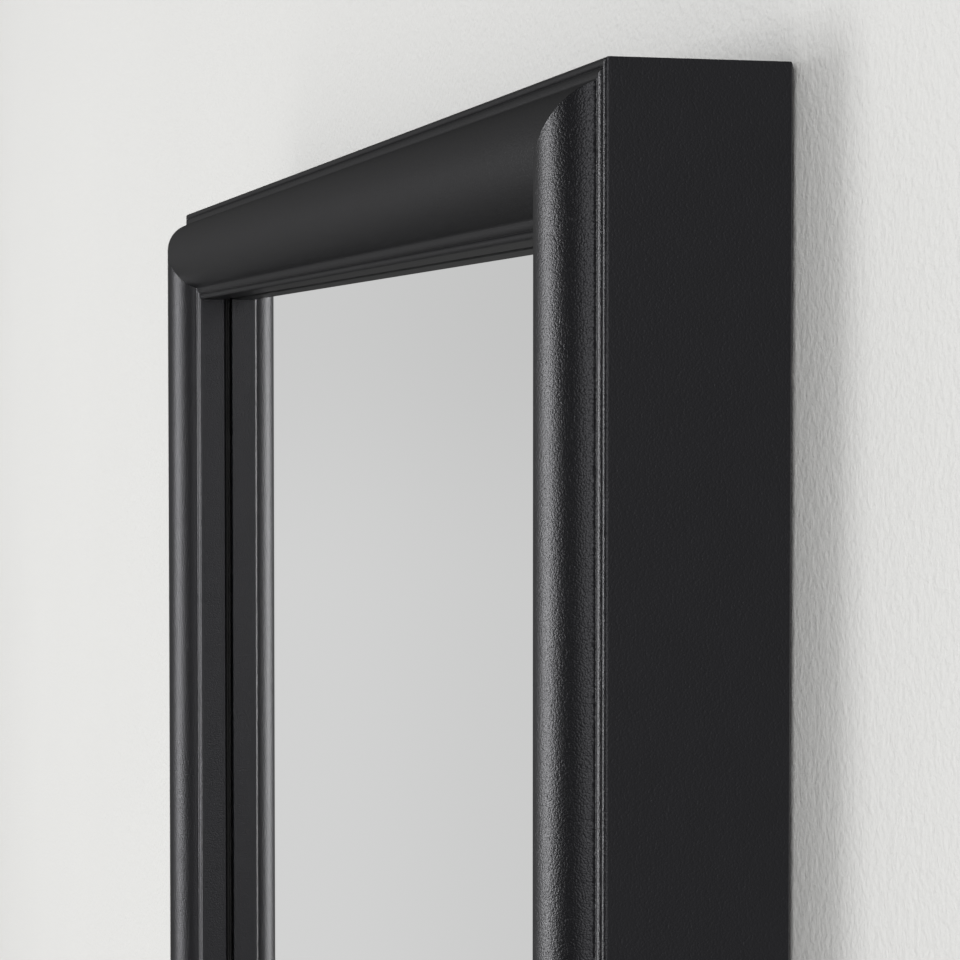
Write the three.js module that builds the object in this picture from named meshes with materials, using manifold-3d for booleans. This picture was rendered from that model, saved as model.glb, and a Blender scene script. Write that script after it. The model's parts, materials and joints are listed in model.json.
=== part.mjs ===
// A framed wall mirror. A mitred moulding with a half-round bead runs round a sheet of mirror
// glass, a board closes the back, and all hardware sits in a recess, so the frame hangs flush.
// Millimetres. X runs across the mirror, Z up, and Y from the viewer into the wall, whose face
// is y = 0. The origin is midway between the two wall screws that carry the upright mirror.
import * as THREE from "three";
import { mergeVertices } from "three/addons/utils/BufferGeometryUtils.js";
import Module from "manifold-3d";

// Overall sizes
const frameWidth = 520;
const frameHeight = 1400;
const sideDepth = 37; // the flat side face, from the frame's back to its front arris
const hangDrop = 250; // from the top edge down to the wall screws, mirror upright
const turnedDrop = 130; // from the right edge to the wall screws, mirror turned on its side

// Moulding section
const railWidth = 32;
const arrisRadius = 0.9;
const arrisWidth = 1.9;
const filletRise = 0.3;
const filletWidth = 2.1;
const beadRise = 8.8;
const backArris = 0.5;
const sightDepth = 8.2; // the inner wall seen round the glass
const sightChamfer = 0.5;
const rabbetWidth = 8;
const mitreGap = 0.1; // the glue line

// What lies in the rabbet, from the front
const foamThickness = 1;
const foamSetback = 1.5;
const foamSeam = 0.3;
const glassThickness = 4;
const glassArris = 0.4;
const glassEdgeGap = 1;
const edgePadLength = 20;
const edgePadShare = 0.3; // of the rail's length, from its middle
const filmThickness = 0.2;
const filmInset = 3;
const boardThickness = 3;
const boardGap = 0.5;

// Wood screws, one size for hangers and turn buttons
const shankRadius = 1.6;
const screwLength = 14;
const screwPoint = 3.5;
const headRadius = 3.2;
const headHeight = 2;
const headRim = 0.7;
const recessWidth = 0.9;
const recessLength = 3.6;
const recessDepth = 1.3;
const screwPlay = 0.2; // shank in its pilot hole
const holePlay = 0.3; // shank in the hole of a strap or turn button

// Hangers: a strap with a rolled eye, and a wire ring that swings in it
const strapWidth = 10;
const strapThickness = 1.2;
const strapFirstHole = 19; // from the eye's axis
const strapHolePitch = 11;
const wireRadius = 1;
const eyePlay = 0.3;
const ringSidePlay = 0.5;
const ringStraight = 6;
const ringCorner = 1.5;
const ringWallGap = 0.5;
const ledgeMargin = 1;

// Turn buttons that hold the board
const buttonPivotRadius = 4.5;
const buttonTipRadius = 3.5;
const buttonArm = 14;
const buttonThickness = 1.2;
const swivelGap = 0.1;
const buttonBelowHanger = 100;

// Corner nails: right-angled steel strips across each mitre, two at a corner
const nailThickness = 0.8;
const nailHeight = 10;
const nailLeg = 7; // on the ledge
const outerNailLegShare = 0.5; // of the outer wall's thickness, on the back face
const nailPlay = 0.2;
const nailSink = 0.3; // driven below the surface

// Soft pads between the frame's back and the wall
const padRadiusShare = 0.35; // of the outer wall's thickness
const padRecess = 1.5;
const padProud = 0.5;
const padGap = 0.3;
const padFromEnd = 60;

const overrun = 2; // how far a cutter passes the faces that it cuts
const arcSteps = 8;
const roundSides = 16;
const domeSteps = 3;
const ringSteps = 44;
const wireSides = 8;

// Places across a rail, measured inward from its outer edge
const ringHalfWidth = strapWidth / 2 + ringSidePlay + wireRadius;
const ringOuterHalf = ringHalfWidth + wireRadius;
const ledgeWidth = ringWallGap + ringOuterHalf + strapWidth / 2 + ledgeMargin;
const rabbetInset = railWidth - rabbetWidth;
const outerWall = rabbetInset - ledgeWidth;
const hardwareInset = outerWall + ringWallGap + ringOuterHalf;
const glassInset = rabbetInset + glassEdgeGap;
const foamWidth = rabbetWidth - glassEdgeGap - foamSetback;

// Levels, as distances from the wall
const backFace = padProud;
const sideFront = backFace + sideDepth;
const arrisTop = sideFront + arrisRadius;
const filletTop = arrisTop + filletRise;
const sightBack = sideFront - sightDepth;
const glassFront = sightBack - foamThickness;
const glassBack = glassFront - glassThickness;
const boardFront = glassBack - filmThickness;
const ledge = boardFront - boardThickness;

// Heights in the frame
const topEdge = hangDrop;
const bottomEdge = topEdge - frameHeight;
const midHeight = (topEdge + bottomEdge) / 2;

const quarter = Math.PI / 2; // of a turn

// The bead's arc through its two fillets and its crest
const beadHalf = railWidth / 2 - arrisWidth - filletWidth;
const beadRadius = (beadHalf ** 2 + beadRise ** 2) / (2 * beadRise);
const beadCentre = filletTop + beadRise - beadRadius;

// The eye stands on the strap's own thickness, and the wire runs along its axis
const eyeBore = wireRadius + eyePlay;
const eyeOuter = eyeBore + strapThickness;
const strapLength = strapFirstHole + strapHolePitch + strapWidth / 2;
const ringReach = ringStraight + ringHalfWidth - wireRadius;

const buttonSeat = buttonThickness + 2 * swivelGap;
const padRadius = padRadiusShare * outerWall;

const foil = new THREE.MeshStandardMaterial({ color: 0x28282a, roughness: 0.42 });
const mirrorSilver = new THREE.MeshStandardMaterial({
  color: 0xd9dcdc,
  roughness: 0.03,
  metalness: 1,
});
const greyFilm = new THREE.MeshStandardMaterial({ color: 0x8f9497, roughness: 0.5 });
const darkFoam = new THREE.MeshStandardMaterial({ color: 0x141414, roughness: 0.95 });
const padRubber = new THREE.MeshStandardMaterial({ color: 0x3b3b3b, roughness: 0.8 });
const hardboard = new THREE.MeshStandardMaterial({ color: 0x8a6a4a, roughness: 0.75 });
const zincSteel = new THREE.MeshStandardMaterial({
  color: 0xb9bdc0,
  roughness: 0.35,
  metalness: 1,
});
const nailSteel = new THREE.MeshStandardMaterial({
  color: 0x7d7f82,
  roughness: 0.45,
  metalness: 1,
});
const felt = new THREE.MeshStandardMaterial({ color: 0x4c4b49, roughness: 1 });

const wasm = await Module();
wasm.setup();

// A closed geometry as a solid that can be joined and cut.
function solid(geometry) {
  const bare = geometry.clone();
  bare.deleteAttribute("normal");
  bare.deleteAttribute("uv");
  const merged = mergeVertices(bare);
  return new wasm.Manifold(
    new wasm.Mesh({
      numProp: 3,
      vertProperties: new Float32Array(merged.attributes.position.array),
      triVerts: new Uint32Array(merged.index.array),
    }),
  );
}

// A solid back as a geometry.
function surface(body) {
  const { vertProperties, triVerts } = body.getMesh();
  const geometry = new THREE.BufferGeometry();
  geometry.setAttribute("position", new THREE.BufferAttribute(vertProperties, 3));
  geometry.setIndex(new THREE.BufferAttribute(triVerts, 1));
  return geometry.toNonIndexed();
}

function cut(geometry, cutters) {
  return surface(cutters.reduce((left, cutter) => left.subtract(solid(cutter)), solid(geometry)));
}

// An outline extruded by a thickness, with sharp edges.
function slab(shape, thickness) {
  return new THREE.ExtrudeGeometry(shape, {
    depth: thickness,
    bevelEnabled: false,
    curveSegments: arcSteps,
  });
}

// A plan outline drawn in X and Z, made solid from one level to another along Y.
function plate(shape, fromLevel, thickness) {
  return slab(shape, thickness).rotateX(Math.PI / 2).translate(0, fromLevel + thickness, 0);
}

// A block given by its low and high corners.
function block(low, high) {
  const size = high.map((value, i) => value - low[i]);
  const centre = high.map((value, i) => (value + low[i]) / 2);
  return new THREE.BoxGeometry(...size).translate(...centre);
}

// A round bar along Y between two levels.
function round(radius, low, high) {
  const bar = new THREE.CylinderGeometry(radius, radius, high - low, roundSides);
  return bar.translate(0, (low + high) / 2, 0);
}

function mesh(name, geometry, material) {
  const piece = new THREE.Mesh(geometry, material);
  piece.name = name;
  return piece;
}

function group(position, turn = 0) {
  const made = new THREE.Group();
  made.position.set(...position);
  made.rotation.y = turn;
  return made;
}

// The moulding's section. X is the distance inward and Y the distance from the wall.
function mouldingSection() {
  const s = new THREE.Shape();
  const inner = railWidth;
  const beadEnd = Math.asin((filletTop - beadCentre) / beadRadius);
  s.moveTo(outerWall, backFace);
  s.lineTo(backArris, backFace);
  s.lineTo(0, backFace + backArris);
  s.lineTo(0, sideFront);
  s.absarc(arrisRadius, sideFront, arrisRadius, Math.PI, Math.PI / 2, true);
  s.lineTo(arrisWidth, arrisTop);
  s.lineTo(arrisWidth, filletTop);
  s.absarc(inner / 2, beadCentre, beadRadius, Math.PI - beadEnd, beadEnd, true);
  s.lineTo(inner - arrisWidth, filletTop);
  s.lineTo(inner - arrisWidth, arrisTop);
  s.absarc(inner - arrisRadius, sideFront, arrisRadius, Math.PI / 2, 0, true);
  s.lineTo(inner, sightBack + sightChamfer);
  s.lineTo(inner - sightChamfer, sightBack);
  s.lineTo(rabbetInset, sightBack);
  s.lineTo(rabbetInset, ledge);
  s.lineTo(outerWall, ledge);
  s.closePath();
  return s;
}

// A length of moulding along X, outer edge at z = 0 and inner edge below it, with each end cut
// back along the rail by the distance inward, which makes the mitre.
function mouldingLength(length) {
  const bar = slab(mouldingSection(), length);
  const across = new THREE.Vector3(0, 0, -1);
  const towardsViewer = new THREE.Vector3(0, -1, 0);
  const along = new THREE.Vector3(-1, 0, 0);
  bar.applyMatrix4(new THREE.Matrix4().makeBasis(across, towardsViewer, along));
  bar.translate(length / 2, 0, 0);
  const p = bar.attributes.position;
  for (let i = 0; i < p.count; i++) {
    const end = length / 2 + p.getZ(i) - mitreGap / Math.SQRT2;
    p.setX(i, Math.sign(p.getX(i)) * end);
  }
  return bar;
}

// A corner nail, its corner at the origin and its legs along +X and +Z, grown by a clearance.
function cornerNail(leg, play = 0) {
  const near = -nailThickness / 2 - play;
  const far = nailThickness / 2 + play;
  const tip = leg + play;
  const s = new THREE.Shape();
  s.moveTo(near, near);
  s.lineTo(tip, near);
  s.lineTo(tip, far);
  s.lineTo(far, far);
  s.lineTo(far, tip);
  s.lineTo(near, tip);
  s.closePath();
  return s;
}

const cornerNails = [
  { name: "ledge", leg: nailLeg, middle: outerWall + ledgeWidth / 2, level: ledge },
  {
    name: "back",
    leg: outerNailLegShare * outerWall,
    middle: outerWall / 2,
    level: backFace,
  },
];

// A nail in the frame of its outer corner. Level is the face that it is driven into.
function placedNail({ leg, middle, level }, play = 0) {
  const inset = middle + leg / 2;
  const head = play ? overrun : -nailSink;
  const deep = -level - nailSink - nailHeight - play;
  const nail = plate(cornerNail(leg, play), deep, head - level - deep);
  return nail.translate(-inset, 0, -inset);
}

function woodScrew() {
  const r = headRadius;
  const dome = Array.from({ length: domeSteps }, (_, i) => {
    const angle = (i / domeSteps) * quarter;
    const rise = (headHeight - headRim) * Math.sin(angle);
    return new THREE.Vector2(r * Math.cos(angle), headRim + rise);
  });
  const profile = [
    new THREE.Vector2(0, -screwLength),
    new THREE.Vector2(shankRadius, screwPoint - screwLength),
    new THREE.Vector2(shankRadius, 0),
    new THREE.Vector2(r, 0),
    ...dome,
    new THREE.Vector2(0, headHeight),
  ];
  const arm = recessLength / 2;
  const half = recessWidth / 2;
  const floor = headHeight - recessDepth;
  const open = headHeight + overrun;
  return cut(new THREE.LatheGeometry(profile, roundSides), [
    block([-arm, floor, -half], [arm, open, half]),
    block([-half, floor, -arm], [half, open, arm]),
  ]);
}

// The hanger's strap, from its rolled eye at x = 0 along +X, lying on y = 0.
function hangerStrap() {
  const side = new THREE.Shape();
  const meet = eyeOuter - strapThickness;
  side.moveTo(0, 0);
  side.lineTo(strapLength, 0);
  side.lineTo(strapLength, strapThickness);
  side.lineTo(Math.sqrt(eyeOuter ** 2 - meet ** 2), strapThickness);
  side.absarc(0, eyeOuter, eyeOuter, -Math.asin(meet / eyeOuter), 3 * quarter, false);
  const bore = new THREE.Path();
  bore.absarc(0, eyeOuter, eyeBore, 0, 2 * Math.PI, true);
  side.holes.push(bore);
  const strip = slab(side, strapWidth).translate(0, 0, -strapWidth / 2);
  const plan = new THREE.Shape();
  const half = strapWidth / 2;
  const beyondEye = -eyeOuter - overrun;
  plan.moveTo(beyondEye, -half);
  plan.lineTo(strapLength - half, -half);
  plan.absarc(strapLength - half, 0, half, -Math.PI / 2, Math.PI / 2, false);
  plan.lineTo(beyondEye, half);
  plan.closePath();
  for (const x of [strapFirstHole, strapFirstHole + strapHolePitch]) {
    const hole = new THREE.Path();
    hole.absarc(x, 0, shankRadius + holePlay, 0, 2 * Math.PI, true);
    plan.holes.push(hole);
  }
  const outline = plate(plan, -overrun, 2 * (eyeOuter + overrun));
  return surface(solid(strip).intersect(solid(outline)));
}

// The ring's centreline: a bar through the eye, two straight sides and a half-round end.
class RingLine extends THREE.Curve {
  constructor() {
    super();
    const c = ringCorner;
    const h = ringHalfWidth;
    this.line = new THREE.Path();
    this.line.moveTo(0, 0);
    this.line.lineTo(0, h - c);
    this.line.absarc(c, h - c, c, Math.PI, Math.PI / 2, true);
    this.line.lineTo(ringStraight, h);
    this.line.absarc(ringStraight, 0, h, Math.PI / 2, -Math.PI / 2, true);
    this.line.lineTo(c, -h);
    this.line.absarc(c, c - h, c, -Math.PI / 2, -Math.PI, true);
    this.line.lineTo(0, 0);
  }
  getPoint(t, target = new THREE.Vector3()) {
    const p = this.line.getPoint(t);
    return target.set(p.x, eyeOuter, p.y);
  }
}

function hangerRing() {
  return new THREE.TubeGeometry(new RingLine(), ringSteps, wireRadius, wireSides, true);
}

// A turn button, its pivot at the origin and its tip towards the mirror's middle.
function turnButton() {
  const slope = Math.asin((buttonPivotRadius - buttonTipRadius) / buttonArm);
  const s = new THREE.Shape();
  s.absarc(0, 0, buttonPivotRadius, slope, Math.PI - slope, false);
  s.absarc(0, -buttonArm, buttonTipRadius, Math.PI - slope, 2 * Math.PI + slope, false);
  s.closePath();
  const hole = new THREE.Path();
  hole.absarc(0, 0, shankRadius + holePlay, 0, 2 * Math.PI, true);
  s.holes.push(hole);
  return plate(s, swivelGap, buttonThickness);
}

// The four sides, each in a frame of its own: x along the rail, z = 0 at the outer edge.
// A hanger's sense is the way from its eye to the strap's end, along that x. The upright foam
// strips end short of the level ones, by foamEnd.
const uprightHanger = frameHeight / 2 - hangDrop - ringReach;
const turnedHanger = frameWidth / 2 - turnedDrop - ringReach;
const uprightButton = uprightHanger - buttonBelowHanger;
const sides = [
  {
    name: "top",
    rail: "top_rail",
    length: frameWidth,
    at: [0, 0, topEdge],
    turn: 0,
    foamEnd: 0,
    hanger: { along: turnedHanger, sense: -1 },
    buttons: [{ suffix: "", along: 0 }],
    pads: [],
  },
  {
    name: "bottom",
    rail: "bottom_rail",
    length: frameWidth,
    at: [0, 0, bottomEdge],
    turn: 2 * quarter,
    foamEnd: 0,
    hanger: { along: -turnedHanger, sense: 1 },
    buttons: [{ suffix: "", along: 0 }],
    pads: [],
  },
  {
    name: "left",
    rail: "left_stile",
    length: frameHeight,
    at: [-frameWidth / 2, 0, midHeight],
    turn: -quarter,
    foamEnd: foamWidth + foamSeam,
    hanger: { along: uprightHanger, sense: -1 },
    buttons: [
      { suffix: "_upper", along: uprightButton },
      { suffix: "_lower", along: -uprightButton },
    ],
    pads: [
      { suffix: "_upper", along: frameHeight / 2 - padFromEnd },
      { suffix: "_lower", along: padFromEnd - frameHeight / 2 },
    ],
  },
  {
    name: "right",
    rail: "right_stile",
    length: frameHeight,
    at: [frameWidth / 2, 0, midHeight],
    turn: quarter,
    foamEnd: foamWidth + foamSeam,
    hanger: { along: -uprightHanger, sense: 1 },
    buttons: [
      { suffix: "_upper", along: -uprightButton },
      { suffix: "_lower", along: uprightButton },
    ],
    pads: [
      { suffix: "_upper", along: padFromEnd - frameHeight / 2 },
      { suffix: "_lower", along: frameHeight / 2 - padFromEnd },
    ],
  },
];

function hangerScrewPlaces({ along, sense }) {
  return [strapFirstHole, strapFirstHole + strapHolePitch].map((x) => along + sense * x);
}

// A rail with its screw holes, its halves of the corner nails' slots and its pad recesses.
function rail({ length, hanger, buttons, pads }) {
  const reach = screwLength + screwPlay;
  const holes = [
    ...hangerScrewPlaces(hanger).map((along) => ({ along, seat: strapThickness })),
    ...buttons.map(({ along }) => ({ along, seat: buttonSeat })),
  ].map(({ along, seat }) => {
    const pilot = round(shankRadius + screwPlay, seat - ledge - reach, overrun - ledge);
    return pilot.translate(along, 0, -hardwareInset);
  });
  const slots = cornerNails.flatMap((nail) => [
    placedNail(nail, nailPlay).translate(length / 2, 0, 0),
    placedNail(nail, nailPlay)
      .rotateY(-quarter)
      .translate(-length / 2, 0, 0),
  ]);
  const recesses = pads.map(({ along }) => {
    const bed = round(padRadius + padGap, -backFace - padRecess, overrun - backFace);
    return bed.translate(along, 0, -outerWall / 2);
  });
  return cut(mouldingLength(length), [...holes, ...slots, ...recesses]);
}

function addFoam(side, parent) {
  const half = side.length / 2 - glassInset - side.foamEnd;
  const strip = block(
    [-half, -sightBack, -glassInset - foamWidth],
    [half, -glassFront, -glassInset],
  );
  parent.add(mesh(`foam_strip_${side.name}`, strip, darkFoam));
}

function addEdgePads(side, parent) {
  const middle = edgePadShare * side.length;
  [-middle, middle].forEach((along, i) => {
    const pad = block(
      [along - edgePadLength / 2, -glassFront + glassArris, -glassInset],
      [along + edgePadLength / 2, -glassBack - glassArris, -rabbetInset],
    );
    parent.add(mesh(`edge_pad_${side.name}_${i + 1}`, pad, padRubber));
  });
}

function addHanger(side, parent) {
  const { along, sense } = side.hanger;
  const hanger = group([along, -ledge, -hardwareInset], sense > 0 ? 0 : Math.PI);
  hanger.add(mesh(`hanger_strap_${side.name}`, hangerStrap(), zincSteel));
  hanger.add(mesh(`hanger_ring_${side.name}`, hangerRing(), zincSteel));
  [strapFirstHole, strapFirstHole + strapHolePitch].forEach((x, i) => {
    const screw = mesh(`hanger_screw_${side.name}_${i + 1}`, woodScrew(), zincSteel);
    screw.position.set(x, strapThickness, 0);
    hanger.add(screw);
  });
  parent.add(hanger);
}

function addTurnButtons(side, parent) {
  for (const { suffix, along } of side.buttons) {
    const place = group([along, -ledge, -hardwareInset]);
    place.add(mesh(`turn_button_${side.name}${suffix}`, turnButton(), zincSteel));
    const screw = mesh(`turn_button_screw_${side.name}${suffix}`, woodScrew(), zincSteel);
    screw.position.y = buttonSeat;
    place.add(screw);
    parent.add(place);
  }
}

function addWallPads(side, parent) {
  for (const { suffix, along } of side.pads) {
    const pad = round(padRadius, -backFace - padRecess, 0);
    pad.translate(along, 0, -outerWall / 2);
    parent.add(mesh(`wall_pad_${side.name}${suffix}`, pad, felt));
  }
}

// A rectangle round the mirror's middle, set in from the frame's outer edges.
function sheetOutline(inset) {
  const x = frameWidth / 2 - inset;
  const z = frameHeight / 2 - inset;
  return new THREE.Shape([
    new THREE.Vector2(-x, -z),
    new THREE.Vector2(x, -z),
    new THREE.Vector2(x, z),
    new THREE.Vector2(-x, z),
  ]);
}

// The glass has a small ground arris round both faces.
function mirrorGlass() {
  const glass = new THREE.ExtrudeGeometry(sheetOutline(glassInset + glassArris), {
    depth: glassThickness - 2 * glassArris,
    bevelSize: glassArris,
    bevelThickness: glassArris,
    bevelSegments: 1,
  });
  return glass.rotateX(quarter).translate(0, -glassBack - glassArris, midHeight);
}

function sheet(inset, front, thickness) {
  return plate(sheetOutline(inset), -front, thickness).translate(0, 0, midHeight);
}

const mirror = new THREE.Group();

for (const side of sides) {
  const place = group(side.at, side.turn);
  place.add(mesh(side.rail, rail(side), foil));
  addFoam(side, place);
  addEdgePads(side, place);
  addHanger(side, place);
  addTurnButtons(side, place);
  addWallPads(side, place);
  mirror.add(place);
}

const corners = [
  { name: "top_right", at: [frameWidth / 2, 0, topEdge], turn: 0 },
  { name: "top_left", at: [-frameWidth / 2, 0, topEdge], turn: -quarter },
  { name: "bottom_left", at: [-frameWidth / 2, 0, bottomEdge], turn: 2 * quarter },
  { name: "bottom_right", at: [frameWidth / 2, 0, bottomEdge], turn: quarter },
];
for (const { name, at, turn } of corners) {
  const place = group(at, turn);
  for (const nail of cornerNails)
    place.add(mesh(`corner_nail_${name}_${nail.name}`, placedNail(nail), nailSteel));
  mirror.add(place);
}

mirror.add(mesh("mirror_glass", mirrorGlass(), mirrorSilver));
mirror.add(
  mesh("safety_film", sheet(glassInset + filmInset, glassBack, filmThickness), greyFilm),
);
mirror.add(
  mesh("back_board", sheet(rabbetInset + boardGap, boardFront, boardThickness), hardboard),
);

export default mirror;
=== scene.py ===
"""A framed wall mirror: a black foil-wrapped moulding round mirror glass, and the fittings on its
back.

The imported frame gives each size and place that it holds. Lengths are in metres. X runs across the
mirror, Z up, and Y from the viewer to the wall, whose face is y = 0. A level is a distance from
that face.
"""

import json
import math
from typing import NamedTuple

import bmesh
import bpy
import numpy as np
from bpy.props import FloatProperty, FloatVectorProperty, PointerProperty
from bpy.types import Operator, Panel, PropertyGroup
from mathutils import Matrix, Vector

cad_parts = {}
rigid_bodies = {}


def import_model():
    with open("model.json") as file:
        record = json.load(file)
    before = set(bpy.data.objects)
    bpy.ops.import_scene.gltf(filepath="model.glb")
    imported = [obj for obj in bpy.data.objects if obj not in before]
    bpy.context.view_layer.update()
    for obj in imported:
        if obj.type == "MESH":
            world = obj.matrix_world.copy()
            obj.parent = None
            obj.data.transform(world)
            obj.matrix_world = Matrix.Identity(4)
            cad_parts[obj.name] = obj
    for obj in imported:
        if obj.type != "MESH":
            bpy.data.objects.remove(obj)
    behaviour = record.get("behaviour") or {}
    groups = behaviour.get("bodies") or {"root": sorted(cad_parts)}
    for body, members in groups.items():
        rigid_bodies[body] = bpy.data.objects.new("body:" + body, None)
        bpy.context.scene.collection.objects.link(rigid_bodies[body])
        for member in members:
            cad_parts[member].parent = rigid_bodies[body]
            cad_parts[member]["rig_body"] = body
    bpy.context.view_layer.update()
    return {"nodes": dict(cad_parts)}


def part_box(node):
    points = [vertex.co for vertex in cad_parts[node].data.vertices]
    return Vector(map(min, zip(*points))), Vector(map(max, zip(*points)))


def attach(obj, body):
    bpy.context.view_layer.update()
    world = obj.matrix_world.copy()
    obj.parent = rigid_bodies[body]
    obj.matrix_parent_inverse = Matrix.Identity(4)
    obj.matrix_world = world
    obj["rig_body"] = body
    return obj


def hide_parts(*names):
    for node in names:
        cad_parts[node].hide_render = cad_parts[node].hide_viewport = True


bl_info = {
    "name": "Framed Wall Mirror",
    "version": (1, 0, 0),
    "blender": (4, 5, 0),
    "location": "View3D > Sidebar > Wall Mirror",
    "description": "Dresses a framed wall mirror: wrapped moulding, glass, board and hangers",
    "category": "Object",
}

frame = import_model()

MM = 0.001
TO_WALL = (0, 1, 0)


def corners(node):
    """The node's lowest and highest corners."""
    low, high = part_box(node)
    return np.array(low), np.array(high)


def middle(node):
    return np.mean(corners(node), axis=0)


def extent(node):
    low, high = corners(node)
    return high - low


def front_level(node):
    return -corners(node)[0][1]


def back_level(node):
    return -corners(node)[1][1]


def named(start):
    """The frame's nodes whose names start this way, in order."""
    return sorted(node for node in frame["nodes"] if node.startswith(start))


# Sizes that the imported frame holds
FRAME_LOW = corners("left_stile")[0]
FRAME_HIGH = corners("right_stile")[1]
FRAME_MIDDLE = (FRAME_LOW + FRAME_HIGH) / 2
FRAME_HALF = (FRAME_HIGH - FRAME_LOW) / 2
RAIL_WIDTH = extent("top_rail")[2]
BACK_FACE = back_level("top_rail")
CREST = front_level("top_rail")
SIGHT_BACK = front_level("foam_strip_top")
LEDGE = front_level("hanger_strap_top")
RABBET_INSET = FRAME_HIGH[0] - corners("edge_pad_right_1")[1][0]


class Side(NamedTuple):
    """One side of the frame: its rail, and the rail's own directions."""

    name: str
    rail: str
    along: tuple
    outward: tuple


SIDES = (
    Side("top", "top_rail", (1, 0, 0), (0, 0, 1)),
    Side("bottom", "bottom_rail", (-1, 0, 0), (0, 0, -1)),
    Side("left", "left_stile", (0, 0, 1), (-1, 0, 0)),
    Side("right", "right_stile", (0, 0, -1), (1, 0, 0)),
)


# Settings


def size(name, description, default):
    return FloatProperty(
        name=name, description=description, default=default, min=0, precision=5, unit="LENGTH"
    )


def colour(name, description, default):
    return FloatVectorProperty(
        name=name, description=description, default=default, size=3, min=0, max=1, subtype="COLOR"
    )


def share(name, description, default):
    return FloatProperty(
        name=name, description=description, default=default, min=0, max=1, subtype="FACTOR"
    )


def angle(name, description, degrees):
    return FloatProperty(
        name=name, description=description, default=math.radians(degrees), subtype="ANGLE"
    )


def power(name, description, default):
    return FloatProperty(name=name, description=description, default=default, min=0, unit="POWER")


class MouldingSettings(PropertyGroup):
    outer_wall: size("Outer wall", "Thickness of the wall outside the hardware recess", 10 * MM)
    arris_radius: size("Arris radius", "Round of the two front edges", 1 * MM)
    arris_drop: size("Arris drop", "From the bead's crest back to an arris", 9 * MM)
    ridge_radius: size("Ridge radius", "Round of the ridge beside the bead", 1.85 * MM)
    ridge_inset: size("Ridge inset", "From an edge to its ridge's crest", 3.4 * MM)
    ridge_drop: size("Ridge drop", "From the bead's crest back to a ridge", 8.62 * MM)
    bead_radius: size("Bead radius", "Round of the bead", 12.58 * MM)
    cove_radius: size("Cove radius", "Hollow between the bead and a ridge", 1.4 * MM)
    cove_start: angle("Cove start", "From a ridge's crest round to its cove", 10)
    sight_chamfer: size("Sight chamfer", "Chamfer of the lip's inner edge", 0.5 * MM)
    back_arris: size("Back arris", "Chamfer of the outer back edge", 0.5 * MM)
    crease: size("Crease", "Reach of the soft creases at a ridge's two sides", 0.12 * MM)
    softening: size("Softening", "Reach of the soft corners", 0.14 * MM)
    lap_softening: size("Lap softening", "Reach of the soft corners at the foil's end", 0.1 * MM)
    mitre_gap: size("Mitre gap", "Glue line between two mitred ends", 0.04 * MM)
    mitre_edge: size("Mitre edge", "Round of a mitred end", 0.03 * MM)
    foil_lap: size("Foil lap", "How far the foil goes on to the back face", 6.5 * MM)
    foil_step: size("Foil step", "Drop from the foil's end to the bare board", 0.15 * MM)
    lip_lap: size("Lip lap", "How far the foil goes under the lip", 3 * MM)


class FoilSettings(PropertyGroup):
    tone: colour("Foil", "Colour of the foil", (0.0038, 0.0038, 0.005))
    roughness: share("Roughness", "Roughness of the foil between its grains", 0.35)
    valleys: share("Valleys", "How much rougher the valleys between the grains are", 0.06)
    gloss: share("Gloss", "Strength of the foil's reflection", 0.36)
    sheen: colour("Sheen", "Tint of the foil's reflection", (0.95, 0.95, 1.0))
    cell: size("Grain cell", "Width of one grain", 0.42 * MM)
    depth: size("Grain depth", "Depth of the valleys between the grains", 0.055 * MM)
    raw_board: colour("Raw board", "Bare fibreboard inside the recess", (0.30, 0.19, 0.10))


class GlassSettings(PropertyGroup):
    corner: size("Corner", "Round of the corners of the glass, film and board", 1.2 * MM)
    arris: size("Arris", "Ground edge of the glass", 0.4 * MM)
    silver: colour("Silver", "Colour that the mirror reflects with", (0.90, 0.905, 0.90))
    edge: colour("Edge", "Ground edge of the glass", (0.12, 0.26, 0.20))
    backing: colour("Backing", "Paint on the back of the silver", (0.16, 0.18, 0.19))


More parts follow.
